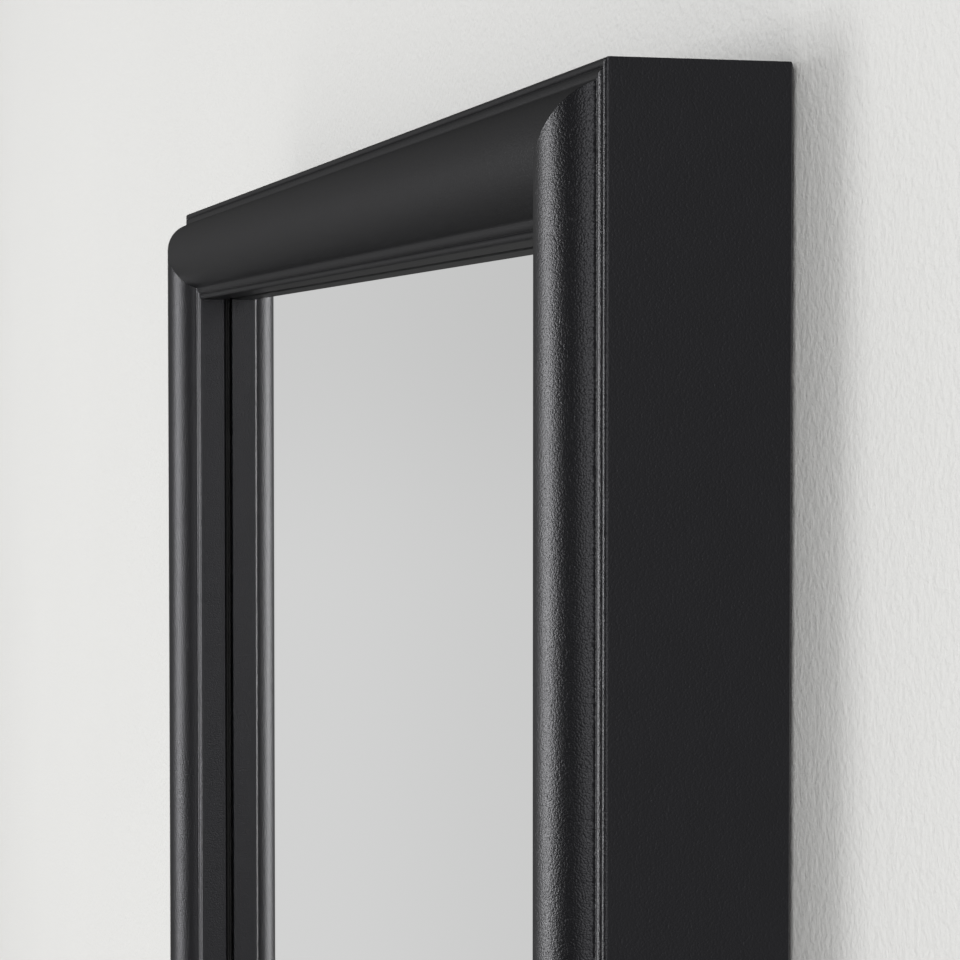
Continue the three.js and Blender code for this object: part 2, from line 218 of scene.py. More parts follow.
class FittingSettings(PropertyGroup):
    shank_radius: size("Shank radius", "Outer radius of a screw's thread", 1.6 * MM)
    thread_depth: size("Thread depth", "Depth of a screw's thread", 0.42 * MM)
    thread_pitch: size("Thread pitch", "Rise of the thread in one turn", 1.35 * MM)
    screw_point: size("Screw point", "Length of a screw's tapered point", 3.5 * MM)
    head_height: size("Head height", "Height of a screw's head", 2 * MM)
    head_rim: size("Head rim", "Height of the straight side of the head", 0.7 * MM)
    head_edge: size("Head edge", "Soft lower edge of the head", 0.12 * MM)
    recess_length: size("Recess length", "Length of the cross recess at the top", 3.6 * MM)
    recess_width: size("Recess width", "Width of the cross recess at the top", 0.9 * MM)
    recess_depth: size("Recess depth", "Depth of the cross recess", 1.3 * MM)
    pilot_play: size("Pilot play", "Between a screw and its hole in the rail", 0.2 * MM)
    hole_play: size("Hole play", "Between a screw and its hole in a strap or button", 0.3 * MM)
    strap_thickness: size("Strap thickness", "Thickness of the hanger's strap", 1.2 * MM)
    plate_edge: size("Plate edge", "Round of the stamped edges", 0.22 * MM)
    ring_corner: size("Ring corner", "Bend of the wire beside the eye", 1.5 * MM)
    button_tip: size("Button tip", "Radius of a turn button's tip", 3.5 * MM)
    nail_thickness: size("Nail thickness", "Thickness of a corner nail's strip", 0.8 * MM)
    nail_play: size("Nail play", "Between a corner nail and its slot", 0.2 * MM)
    nail_edge: size("Nail edge", "Round of a corner nail's edges", 0.12 * MM)
    nail_elbow: size("Nail elbow", "Reach of the bend at a corner nail's elbow", 0.36 * MM)
    pad_gap: size("Pad gap", "Between a felt pad and its bed", 0.3 * MM)
    zinc: colour("Zinc", "Plating of the hangers, buttons and screws", (0.62, 0.63, 0.64))
    nail: colour("Nail steel", "Colour of the corner nails", (0.30, 0.30, 0.31))


class SoftSettings(PropertyGroup):
    foam: colour("Foam", "Foam strips under the lip", (0.012, 0.012, 0.012))
    rubber: colour("Rubber", "Pads round the glass's edge", (0.045, 0.045, 0.045))
    felt: colour("Felt", "Pads on the frame's back", (0.075, 0.072, 0.068))
    film: colour("Film", "Safety film on the glass's back", (0.28, 0.30, 0.31))
    board: colour("Board", "Hardboard back", (0.26, 0.145, 0.07))
    edge: size("Edge", "Round of the soft pieces' edges", 0.3 * MM)
    ripple: size("Ripple", "Unevenness of the foam and felt", 0.05 * MM)


class StudioSettings(PropertyGroup):
    wall: colour("Wall", "Rolled paint on the wall", (0.64, 0.64, 0.63))
    floor: colour("Floor", "Plain floor under the mirror", (0.62, 0.61, 0.59))
    floor_drop: size("Floor drop", "From the frame down to the floor", 0.75)
    roller: size("Roller texture", "Width of the bumps in the wall's paint", 1.8 * MM)
    roller_depth: size("Roller depth", "Height of the bumps in the wall's paint", 0.45 * MM)
    key_width: size("Key width", "Width of the lamp that gloss shows", 0.41)
    key_height: size("Key height", "Height of the lamp that gloss shows", 1)
    key_power: power("Key power", "Power of the lamp that gloss shows", 22.2)
    wash_width: size("Wash width", "Width of the lamp on matt surfaces", 0.78)
    wash_height: size("Wash height", "Height of the lamp on matt surfaces", 0.8)
    wash_power: power("Wash power", "Power of the lamp on matt surfaces", 31)
    fill_width: size("Fill width", "Width of the side lamp", 1.62)
    fill_height: size("Fill height", "Height of the side lamp", 2.4)
    fill_power: power("Fill power", "Power of the side lamp", 51)
    ambient: share("Ambient", "Light of the room on matt surfaces", 0.89)


class WallMirrorSettings(PropertyGroup):
    moulding: PointerProperty(type=MouldingSettings)
    foil: PointerProperty(type=FoilSettings)
    glass: PointerProperty(type=GlassSettings)
    fittings: PointerProperty(type=FittingSettings)
    soft: PointerProperty(type=SoftSettings)
    studio: PointerProperty(type=StudioSettings)


# Shapes


class Shape(NamedTuple):
    """A surface: its points, its four-sided faces and the faces that close its ends."""

    points: np.ndarray
    quads: np.ndarray
    ends: tuple = ()


def skin(rings, looped=False, first_end=True):
    """The surface through an array of rings by points by 3. Face (i, j) joins points j and j + 1
    of ring i to those of ring i + 1. Looped joins the last ring to the first, and otherwise the
    last ring is closed, and the first one too unless it is left to a merge."""
    count, points = rings.shape[:2]
    i = np.arange(count if looped else count - 1)[:, None]
    j = np.arange(points)[None, :]
    near = i * points
    far = (i + 1) % count * points
    ahead = (j + 1) % points
    quads = np.stack([near + j, near + ahead, far + ahead, far + j], -1).reshape(-1, 4)
    ring = np.arange(points)
    ends = [] if looped else [(count - 1) * points + ring]
    if first_end and not looped:
        ends.insert(0, ring[::-1])
    return Shape(rings.reshape(-1, 3), quads, tuple(ends))


def joined(shapes):
    """Several shapes as one."""
    starts = np.cumsum([0] + [len(shape.points) for shape in shapes])
    return Shape(
        np.vstack([shape.points for shape in shapes]),
        np.vstack([shape.quads + start for shape, start in zip(shapes, starts)]),
        tuple(end + start for shape, start in zip(shapes, starts) for end in shape.ends),
    )


def placed(shape, origin, across, up, through):
    """The shape with its three axes turned to these directions and its origin moved."""
    axes = np.array([across, up, through], float)
    return shape._replace(points=shape.points @ axes + origin)


def facing_wall(shape, centre=(0, 0, 0)):
    """The shape with its third axis turned towards the wall, at this place in X and Z."""
    return placed(shape, (centre[0], 0, centre[2]), (1, 0, 0), (0, 0, 1), TO_WALL)


def arc(centre, radius, start, end, steps):
    """Points on a circle at equal angles, from start to end in degrees."""
    a = np.radians(np.linspace(start, end, steps + 1))
    return np.stack([centre[0] + radius * np.cos(a), centre[1] + radius * np.sin(a)], -1)


def quarter_round(radius, steps):
    """A quarter circle at equal angles a: radius (1 - cos a) and radius (1 - sin a)."""
    a = np.linspace(0, math.pi / 2, steps + 1)
    return radius * (1 - np.cos(a)), radius * (1 - np.sin(a))


def run_of(outline):
    """The closed outline with its first point again at the end, and each point's distance along
    it."""
    closed = np.vstack([outline, outline[:1]])
    steps = np.linalg.norm(np.diff(closed, axis=0), axis=1)
    return closed, np.concatenate([[0], np.cumsum(steps)])


def point_at(closed, run, distance):
    """Where the closed outline is at these distances along it."""
    distance = np.mod(distance, run[-1])
    return np.stack([np.interp(distance, run, closed[:, k]) for k in (0, 1)], -1)


def softened(outline, reaches, steps=5):
    """The closed outline with a parabola for each corner whose reach isn't zero, from one reach
    before the corner to one reach after it: (1 - t)^2 start + 2 t (1 - t) corner + t^2 end. Also
    gives each point's distance along the outline."""
    just_past = 1.001
    closed, run = run_of(outline)
    sharp = np.flatnonzero(reaches)
    reach = np.asarray(reaches, float)[sharp, None]
    t = np.linspace(0, 1, steps + 1)[None, :, None]
    start = point_at(closed, run, run[sharp, None] - reach)
    end = point_at(closed, run, run[sharp, None] + reach)
    corner = outline[sharp, None]
    bends = (1 - t) ** 2 * start + 2 * t * (1 - t) * corner + t**2 * end
    places = run[sharp, None] + reach * (2 * t[..., 0] - 1)
    apart = np.mod(run[:-1, None] - run[sharp][None] + run[-1] / 2, run[-1]) - run[-1] / 2
    kept = np.all(np.abs(apart) > reach[:, 0] * just_past, axis=1)
    points = np.vstack([outline[kept], bends.reshape(-1, 2)])
    distance = np.concatenate([run[:-1][kept], np.mod(places, run[-1]).ravel()])
    order = np.argsort(distance, kind="stable")
    return points[order], distance[order]


def drawn_in(outline, inset):
    """The closed outline moved inward: each point along the bisector of its two sides, by the
    inset over the cosine of half of the turn between them."""
    after = np.roll(outline, -1, axis=0)
    area = np.sum(outline[:, 0] * after[:, 1] - outline[:, 1] * after[:, 0])
    ahead = after - outline
    ahead /= np.linalg.norm(ahead, axis=1, keepdims=True)
    inward = np.sign(area) * np.stack([-ahead[:, 1], ahead[:, 0]], -1)
    bisector = inward + np.roll(inward, 1, axis=0)
    bisector /= np.linalg.norm(bisector, axis=1, keepdims=True)
    return outline + inset * bisector / np.sum(bisector * inward, axis=1, keepdims=True)


def rounded_ends(low, high, radius, steps=3):
    """Heights and insets of the rings that round both rims of a prism by quarter circles."""
    inset, depth = quarter_round(radius, steps)
    heights = np.concatenate([low + depth[::-1], high - depth])
    return heights, np.concatenate([inset[::-1], inset])


def level_rings(outline, heights, insets):
    """A closed outline at these heights, drawn in by an inset at each."""
    return np.array(
        [
            np.column_stack([drawn_in(outline, inset), np.full(len(outline), height)])
            for height, inset in zip(heights, insets)
        ]
    )


def prism(outline, heights, insets):
    """The closed surface through an outline's rings at these heights."""
    return skin(level_rings(outline, heights, insets))


def turned(radii, heights, sides):
    """A profile turned about the third axis: point (i, j) is at radius i and angle j."""
    a = np.linspace(0, 2 * math.pi, sides, endpoint=False)
    radii = np.broadcast_to(np.reshape(radii, (len(heights), -1)), (len(heights), sides))
    heights = np.broadcast_to(np.asarray(heights)[:, None], radii.shape)
    return skin(np.stack([radii * np.cos(a), radii * np.sin(a), heights], -1))


def rectangle(half_width, half_height, corner, steps=4):
    """A rectangle's outline round the origin, with quarter circles for corners."""
    x, y = half_width - corner, half_height - corner
    centres = ((x, y), (-x, y), (-x, -y), (x, -y))
    return np.vstack(
        [arc(centre, corner, 90 * k, 90 * (k + 1), steps) for k, centre in enumerate(centres)]
    )


# Meshes


def show_outside(mesh):
    """Turns the faces round if they point inwards. Then the sum of a . (b x c) over the closed
    surface's triangles, which is six times its volume, is below zero."""
    mesh.calc_loop_triangles()
    triangles = np.empty(len(mesh.loop_triangles) * 3, np.int32)
    mesh.loop_triangles.foreach_get("vertices", triangles)
    points = np.empty(len(mesh.vertices) * 3, np.float32)
    mesh.vertices.foreach_get("co", points)
    a, b, c = points.reshape(-1, 3).astype(float)[triangles.reshape(-1, 3)].transpose(1, 0, 2)
    if np.sum(a * np.cross(b, c)) < 0:
        mesh.flip_normals()


def smooth(mesh, sharp_degrees=30):
    mesh.shade_smooth()
    mesh.set_sharp_from_angle(angle=math.radians(sharp_degrees))


def new_piece(name, shape, materials, kinds=None, merged=False):
    """A mesh object at the origin. Kinds gives each face's place in the list of materials, and
    merged joins points that lie on each other."""
    mesh = bpy.data.meshes.new(name)
    faces = shape.quads.tolist() + [end.tolist() for end in shape.ends]
    mesh.from_pydata(shape.points.tolist(), [], faces)
    for material in materials:
        mesh.materials.append(material)
    if kinds is not None:
        mesh.polygons.foreach_set("material_index", np.asarray(kinds, np.int32))
    if merged:
        work = bmesh.new()
        work.from_mesh(mesh)
        bmesh.ops.remove_doubles(work, verts=work.verts, dist=0.001 * MM)
        work.to_mesh(mesh)
        work.free()
    mesh.update()
    show_outside(mesh)
    smooth(mesh)
    piece = bpy.data.objects.new(name, mesh)
    bpy.context.scene.collection.objects.link(piece)
    return piece


def carved(piece, cutters, kind=0):
    """Cuts the shapes out of the piece's mesh. The cut faces get the material at place kind."""
    shape = joined(cutters)
    kinds = np.full(len(shape.quads) + len(shape.ends), kind)
    cutter = new_piece("cutter", shape, piece.data.materials, kinds)
    cut = piece.modifiers.new("cut", "BOOLEAN")
    cut.operation = "DIFFERENCE"
    cut.solver = "EXACT"
    cut.object = cutter
    depsgraph = bpy.context.evaluated_depsgraph_get()
    mesh = bpy.data.meshes.new_from_object(piece.evaluated_get(depsgraph))
    old = piece.data
    piece.modifiers.clear()
    piece.data = mesh
    bpy.data.meshes.remove(old)
    bpy.data.meshes.remove(cutter.data)
    if not mesh.polygons:
        raise RuntimeError(f"{piece.name} was cut away")
    smooth(mesh)


def even_normals(piece):
    """Lets large flat faces keep their own direction beside small rounded edges."""
    weights = piece.modifiers.new("normals", "WEIGHTED_NORMAL")
    weights.keep_sharp = True


def spare(piece, lamp):
    """Keeps a lamp's light off the piece, so that a mirror doesn't show the lamp."""
    spared = bpy.data.collections.new(f"spared_by_{lamp.name}")
    spared.objects.link(piece)
    lamp.light_linking.receiver_collection = spared
    spared.collection_objects[0].light_linking.link_state = "EXCLUDE"


def dress(piece, slot, *nodes):
    """The piece stands for these nodes and moves with their body. The slot is not used."""
    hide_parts(*nodes)
    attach(piece, frame["nodes"][nodes[0]]["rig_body"])


# Shader helpers


def add(tree, kind, inputs=None, **settings):
    """A node with its settings. An input is a value, or another node's output to join to it."""
    node = tree.nodes.new(kind)
    for key, value in settings.items():
        setattr(node, key, value)
    for key, value in (inputs or {}).items():
        if isinstance(value, bpy.types.NodeSocket):
            tree.links.new(value, node.inputs[key])
        else:
            node.inputs[key].default_value = value
    return node


def maths(tree, operation, *values, clamp=False):
    inputs = dict(enumerate(values))
    return add(tree, "ShaderNodeMath", inputs, operation=operation, use_clamp=clamp).outputs[0]


def vector_maths(tree, operation, first, second):
    inputs = {0: first, 1: second}
    return add(tree, "ShaderNodeVectorMath", inputs, operation=operation).outputs[0]


def noise(tree, vector, scale, detail=2.0, roughness=0.5, output="Fac"):
    inputs = {"Vector": vector, "Scale": scale, "Detail": detail, "Roughness": roughness}
    return add(tree, "ShaderNodeTexNoise", inputs).outputs[output]


def woven(tree, place, pitch):
    """Two crossed sets of ridges at this pitch, the higher of the two at each point."""
    waves_a_metre = math.pi / 10 / pitch
    inputs = {
        "Vector": vector_maths(tree, "MULTIPLY", place, (waves_a_metre,) * 3),
        "Scale": 1.0,
        "Distortion": 0.4,
    }
    ridges = [
        add(tree, "ShaderNodeTexWave", inputs, bands_direction=direction).outputs["Fac"]
        for direction in ("X", "Z")
    ]
    return maths(tree, "MAXIMUM", *ridges)


def opaque(tone, factor=1.0):
    """The colour, lighter or darker by a factor, with its fourth value."""
    return (*(min(1.0, value * factor) for value in tone), 1.0)


VECTOR = "NodeSocketVector"
VALUE = "NodeSocketFloat"
COLOUR = "NodeSocketColor"


def shared(build):
    """A function for a shader group that is built the first time, and is then given again."""

    def given():
        name = build.__name__.replace("_", " ").capitalize()
        return bpy.data.node_groups.get(name) or build(name)

    return given


def group_tree(name, inputs, outputs):
    """An empty shader group with these sockets, its inputs, and its output node's sockets."""
    tree = bpy.data.node_groups.new(name, "ShaderNodeTree")
    for label, (kind, default) in inputs.items():
        socket = tree.interface.new_socket(name=label, in_out="INPUT", socket_type=kind)
        if default is not None:
            socket.default_value = default
    for label, kind in outputs.items():
        tree.interface.new_socket(name=label, in_out="OUTPUT", socket_type=kind)
    given = tree.nodes.new("NodeGroupInput").outputs
    return tree, given, tree.nodes.new("NodeGroupOutput").inputs


@shared
def pebble_grain(name):
    """Rounded grains with valleys between them: one less the square of the distance to the
    nearest grain's middle, on coordinates that a noise bends."""
    bend_scale, bend_reach, uneven_scale, uneven_share = 0.7, 1.1, 0.45, 0.6
    sockets = {"Vector": (VECTOR, None), "Cell": (VALUE, 0.45 * MM)}
    tree, given, result = group_tree(name, sockets, {"Height": VALUE, "Valley": VALUE})
    place, cell = given["Vector"], given["Cell"]
    cells = maths(tree, "DIVIDE", 1.0, cell)
    bend = noise(tree, place, maths(tree, "MULTIPLY", cells, bend_scale), 1.0, output="Color")
    either_way = vector_maths(tree, "SUBTRACT", bend, (0.5, 0.5, 0.5))
    reach = maths(tree, "MULTIPLY", cell, bend_reach)
    shift = vector_maths(tree, "MULTIPLY", either_way, reach)
    bent = vector_maths(tree, "ADD", place, shift)
    grains = add(tree, "ShaderNodeTexVoronoi", {"Vector": bent, "Scale": cells})
    valley = maths(tree, "POWER", grains.outputs["Distance"], 2.0, clamp=True)
    uneven = noise(tree, place, maths(tree, "MULTIPLY", cells, uneven_scale))
    dome = maths(tree, "SUBTRACT", 1.0, valley)
    tree.links.new(maths(tree, "MULTIPLY_ADD", uneven, uneven_share, dome), result["Height"])
    tree.links.new(valley, result["Valley"])
    return tree


@shared
def mottle(name):
    """Two colours mixed by a soft noise, and the noise's own value."""
    sockets = {
        "Vector": (VECTOR, None),
        "Patch": (VALUE, 5 * MM),
        "Detail": (VALUE, 3.0),
        "Dark": (COLOUR, None),
        "Light": (COLOUR, None),
    }
    tree, given, result = group_tree(name, sockets, {"Color": COLOUR, "Mask": VALUE})
    patches = maths(tree, "DIVIDE", 1.0, given["Patch"])
    mask = noise(tree, given["Vector"], patches, given["Detail"], roughness=0.55)
    spread = {"Value": mask, "From Min": 0.3, "From Max": 0.7}
    mask = add(tree, "ShaderNodeMapRange", spread).outputs["Result"]
    mixed = add(tree, "ShaderNodeMix", {"Factor": mask}, data_type="RGBA")
    tree.links.new(given["Dark"], mixed.inputs["A"])
    tree.links.new(given["Light"], mixed.inputs["B"])
    tree.links.new(mixed.outputs["Result"], result["Color"])
    tree.links.new(mask, result["Mask"])
    return tree


@shared
def fibres(name):
    """Fine fibres that lie every way: the highest of three noises, each stretched along another
    direction."""
    sockets = {"Vector": (VECTOR, None), "Thickness": (VALUE, 0.1 * MM), "Stretch": (VALUE, 8.0)}
    tree, given, result = group_tree(name, sockets, {"Height": VALUE})
    across = maths(tree, "DIVIDE", 1.0, given["Thickness"])
    along = maths(tree, "DIVIDE", across, given["Stretch"])
    height = None
    for turn in (0.0, 1.05, 2.2):
        inputs = {"Vector": given["Vector"], "Angle": turn, "Axis": (0.3, 1.0, 0.2)}
        laid = add(tree, "ShaderNodeVectorRotate", inputs).outputs[0]
        stretch = add(tree, "ShaderNodeCombineXYZ", {0: along, 1: across, 2: across}).outputs[0]
        strand = noise(tree, vector_maths(tree, "MULTIPLY", laid, stretch), 1.0, 1.0)
        height = strand if height is None else maths(tree, "MAXIMUM", height, strand)
    tree.links.new(height, result["Height"])
    return tree


class Finish:
    """A new material's Principled shader, and the piece's own coordinates to lay patterns on."""

    def __init__(self, name):
        material = bpy.data.materials.new(name)
        material.use_nodes = True
        self.tree = material.node_tree
        self.shader = self.tree.nodes["Principled BSDF"]
        self.place = add(self.tree, "ShaderNodeTexCoord").outputs["Object"]

    def plain(self, **sockets):
        """Values that are equal all over."""
        for key, value in sockets.items():
            self.shader.inputs[key.replace("_", " ")].default_value = value

    def pattern(self, group, **inputs):
        """A shared group's outputs, laid on the piece."""
        inputs = {"Vector": self.place, **inputs}
        return add(self.tree, "ShaderNodeGroup", inputs, node_tree=group).outputs

    def tint(self, tone, dark, light, patch, detail=3.0):
        """Mottles the base colour between a darker and a lighter tone, and gives the mask."""
        tones = {"Dark": opaque(tone, dark), "Light": opaque(tone, light)}
        spots = self.pattern(mottle(), Patch=patch, Detail=detail, **tones)
        self.tree.links.new(spots["Color"], self.shader.inputs["Base Color"])
        return spots["Mask"]

    def roughen(self, mask, start, end):
        """The roughness goes from start to end as the mask goes from 0 to 1."""
        level = maths(self.tree, "MULTIPLY_ADD", mask, end - start, start)
        self.tree.links.new(level, self.shader.inputs["Roughness"])

    def emboss(self, height, depth):
        """Joins a height from 0 to 1, of this depth in metres, to the shader's normal."""
        bump = add(self.tree, "ShaderNodeBump", {"Height": height, "Distance": depth})
        self.tree.links.new(bump.outputs["Normal"], self.shader.inputs["Normal"])


# Materials


def once(make):
    """A function that makes its material the first time, and then gives that one."""

    def given(*settings):
        name = f"{make.__name__}_finish"
        if name not in bpy.data.materials:
            make(Finish(name), *settings)
        return bpy.data.materials[name]

    return given


@once
def black_foil(finish, foil):
    """Embossed decor foil: rounded grains, a little rougher in their valleys."""
    finish.plain(Specular_IOR_Level=foil.gloss, Specular_Tint=opaque(foil.sheen))
    finish.tint(foil.tone, dark=0.9, light=1.1, patch=9 * MM)
    grain = finish.pattern(pebble_grain(), Cell=foil.cell)
    finish.roughen(grain["Valley"], foil.roughness, foil.roughness + foil.valleys)
    finish.emboss(grain["Height"], foil.depth)


@once
def raw_fibreboard(finish, foil):
    mask = finish.tint(foil.raw_board, dark=0.7, light=1.25, patch=1.5 * MM, detail=6.0)
    finish.roughen(mask, 0.88, 0.78)
    strands = finish.pattern(fibres(), Thickness=0.12 * MM)
    finish.emboss(strands["Height"], 0.06 * MM)


@once
def mirror_silver(finish, glass):
    """Silver behind clear glass. It only reflects, with the faintest cloud in its tint."""
    finish.plain(Metallic=1.0, Roughness=0.0)
    finish.tint(glass.silver, dark=0.995, light=1.0, patch=0.3, detail=0.0)


@once
def ground_glass(finish, glass):
    """The glass's ground edge: greenish, dull, with fine wheel marks."""
    finish.plain(IOR=1.52)
    mask = finish.tint(glass.edge, dark=0.8, light=1.2, patch=2 * MM)
    finish.roughen(mask, 0.35, 0.5)
    marks = finish.pattern(fibres(), Thickness=0.04 * MM, Stretch=20.0)
    finish.emboss(marks["Height"], 0.01 * MM)


@once
def backing_paint(finish, glass):
    specks_a_metre = 900.0
    mask = finish.tint(glass.backing, dark=0.9, light=1.1, patch=12 * MM)
    finish.roughen(mask, 0.45, 0.6)
    finish.emboss(noise(finish.tree, finish.place, specks_a_metre), 0.02 * MM)


@once
def safety_film(finish, soft):
    """Woven plastic film: two sets of fine threads over a mottled grey."""
    finish.tint(soft.film, dark=0.9, light=1.1, patch=8 * MM)
    threads = woven(finish.tree, finish.place, pitch=1.2 * MM)
    finish.roughen(threads, 0.55, 0.35)
    finish.emboss(threads, 0.05 * MM)


@once
def hardboard(finish, soft):
    """Pressed fibres with the faint mark of the press's wire screen."""
    finish.tint(soft.board, dark=0.65, light=1.3, patch=3 * MM, detail=8.0)
    screen_share = 0.5
    strands = finish.pattern(fibres(), Thickness=0.25 * MM)
    screen = woven(finish.tree, finish.place, pitch=1.6 * MM)
    finish.roughen(screen, 0.8, 0.62)
    height = maths(finish.tree, "MULTIPLY_ADD", screen, screen_share, strands["Height"])
    finish.emboss(height, 0.12 * MM)


@once
def soft_foam(finish, soft):
    """Closed-cell foam: small pores of uneven depth."""
    finish.plain(Roughness=0.95)
    finish.tint(soft.foam, dark=0.7, light=1.4, patch=1 * MM)
    pores = finish.pattern(pebble_grain(), Cell=0.25 * MM)
    finish.emboss(pores["Valley"], 0.06 * MM)


@once
def pad_rubber(finish, soft):
    mask = finish.tint(soft.rubber, dark=0.85, light=1.2, patch=4 * MM)
    finish.roughen(mask, 0.6, 0.75)
    grain = finish.pattern(pebble_grain(), Cell=0.3 * MM)
    finish.emboss(grain["Height"], 0.02 * MM)


@once
def pressed_felt(finish, soft):
    """Matted wool: light and dark fibres, with a soft sheen."""
    finish.plain(Roughness=1.0, Sheen_Weight=0.5)
    finish.tint(soft.felt, dark=0.55, light=1.6, patch=0.5 * MM, detail=6.0)
    wool = finish.pattern(fibres(), Thickness=0.06 * MM, Stretch=14.0)
    finish.emboss(wool["Height"], 0.2 * MM)


@once
def zinc_plate(finish, fittings):
    """Bright zinc: a cloudy passivated tone and fine rubbing marks."""
    finish.plain(Metallic=1.0)
    mask = finish.tint(fittings.zinc, dark=0.88, light=1.06, patch=2.5 * MM, detail=4.0)
    finish.roughen(mask, 0.36, 0.26)
    marks = finish.pattern(fibres(), Thickness=0.05 * MM, Stretch=30.0)
    finish.emboss(marks["Height"], 0.008 * MM)


@once
def nail_steel(finish, fittings):
    finish.plain(Metallic=1.0)
    mask = finish.tint(fittings.nail, dark=0.75, light=1.15, patch=1.2 * MM, detail=5.0)
    finish.roughen(mask, 0.5, 0.38)
    marks = finish.pattern(fibres(), Thickness=0.08 * MM, Stretch=20.0)
    finish.emboss(marks["Height"], 0.02 * MM)


@once
def rolled_paint(finish, studio):
    """Matt wall paint with a roller's fine bumps on broader ones. From behind it isn't there."""
    broad_scale, broad_share = 0.45, 0.7
    finish.plain(Roughness=0.7)
    finish.tint(studio.wall, dark=0.99, light=1.01, patch=0.5)
    tree, place, scale = finish.tree, finish.place, 1 / studio.roller
    fine = noise(tree, place, scale, detail=3.0, roughness=0.55)
    broad = noise(tree, place, broad_scale * scale)
    finish.emboss(maths(tree, "MULTIPLY_ADD", broad, broad_share, fine), studio.roller_depth)
    unseen = add(tree, "ShaderNodeBsdfTransparent").outputs[0]
    behind = add(tree, "ShaderNodeNewGeometry").outputs["Backfacing"]
    mixed = add(tree, "ShaderNodeMixShader", {0: behind, 1: finish.shader.outputs[0], 2: unseen})
    tree.links.new(mixed.outputs[0], tree.nodes["Material Output"].inputs["Surface"])


@once
def plain_floor(finish, studio):
    finish.plain(Roughness=0.6)
    finish.tint(studio.floor, dark=0.98, light=1.02, patch=0.4)


# Pieces


class Circle(NamedTuple):
    """A circle in the moulding's section, which has inward distances and levels."""

    centre: np.ndarray
    radius: float

    def angle(self, point):
        """The point's angle round the centre, in degrees."""
        inward, level = point - self.centre
        return math.degrees(math.atan2(level, inward))

    def round(self, start, end, steps):
        """The arc from one of its points to just before another."""
        return arc(self.centre, self.radius, self.angle(start), self.angle(end), steps)[:-1]


def crossing(first, second):
    """The upper point where two circles cross: a distance a along the line through their centres
    and h beside it, where a = (r1^2 - r2^2 + d^2) / 2d and h^2 = r1^2 - a^2."""
    between_centres = second.centre - first.centre
    apart = np.linalg.norm(between_centres)
    along = between_centres / apart
    a = (first.radius**2 - second.radius**2 + apart**2) / (2 * apart)
    beside = np.array([-along[1], along[0]])
    beside *= np.sign(beside[1])
    return first.centre + a * along + math.sqrt(first.radius**2 - a**2) * beside


def cove_beside(bead, start, radius):
    """The hollow of this radius from a point to where it touches the bead: its centre is where a
    circle round the point crosses the bead's, grown by the radius."""
    grown = bead._replace(radius=bead.radius + radius)
    return Circle(crossing(Circle(start, radius), grown), radius)


def facing(circle, other):
    """The circle's point that is nearest to another's centre."""
    towards = other.centre - circle.centre
    return circle.centre + circle.radius * towards / np.linalg.norm(towards)


def moulding_section(sizes):
    """The moulding's outline, each point its distance inward and its level, and which of its
    sides are bare board. Circles make its front: an arris, a ridge, a cove, the bead, and the
    same again from the bead to the sight edge. Then the corners are softened."""
    wall, width = sizes.outer_wall, RAIL_WIDTH
    step, lap_end = BACK_FACE + sizes.foil_step, sizes.foil_lap

    def circle(inset, drop, radius):
        return Circle(np.array([inset, CREST - drop - radius]), radius)

    def mirrored(point):
        return point * (-1, 1) + (width, 0)

    arris = circle(sizes.arris_radius, sizes.arris_drop, sizes.arris_radius)
    ridge = circle(sizes.ridge_inset, sizes.ridge_drop, sizes.ridge_radius)
    bead = circle(width / 2, 0, sizes.bead_radius)
    turn = sizes.cove_start
    start = ridge.centre + ridge.radius * np.array([math.sin(turn), math.cos(turn)])
    cove = cove_beside(bead, start, sizes.cove_radius)
    before = [arris, ridge, cove]
    after = [part._replace(centre=mirrored(part.centre)) for part in reversed(before)]
    circles = [*before, bead, *after]
    edge = arris.centre - (arris.radius, 0)
    joints = [edge, crossing(arris, ridge), start, facing(bead, cove)]
    joints += [mirrored(point) for point in reversed(joints)]
    steps = [20, 20, 12, 72, 12, 20, 20]
    rounds = [
        part.round(start, end, count)
        for part, start, end, count in zip(circles, joints, joints[1:], steps)
    ]
    soft, small, crease = sizes.softening, sizes.lap_softening, sizes.crease
    bare = [
        (0, [(width - sizes.lip_lap, SIGHT_BACK)]),
        (soft, [(RABBET_INSET, SIGHT_BACK)]),
        (soft, [(RABBET_INSET, LEDGE)]),
        (soft, [(wall, LEDGE)]),
        (soft, [(wall, step)]),
    ]
    wrapped = [
        (small, [(lap_end, step)]),
        (small, [(lap_end, BACK_FACE)]),
        (soft, [(sizes.back_arris, BACK_FACE)]),
        (soft, [(0, BACK_FACE + sizes.back_arris)]),
        *zip((0, crease, crease, 0, 0, crease, crease), rounds),
        (0, [joints[-1]]),
        (soft, [(width, SIGHT_BACK + sizes.sight_chamfer)]),
        (soft, [(width - sizes.sight_chamfer, SIGHT_BACK)]),
    ]
    stretches = bare + wrapped
    outline = np.vstack([points for _, points in stretches])
    reaches = np.concatenate([[reach] + [0] * (len(points) - 1) for reach, points in stretches])
    _, run = run_of(outline)
    section, distance = softened(outline, reaches)
    return section, distance < run[len(bare)]


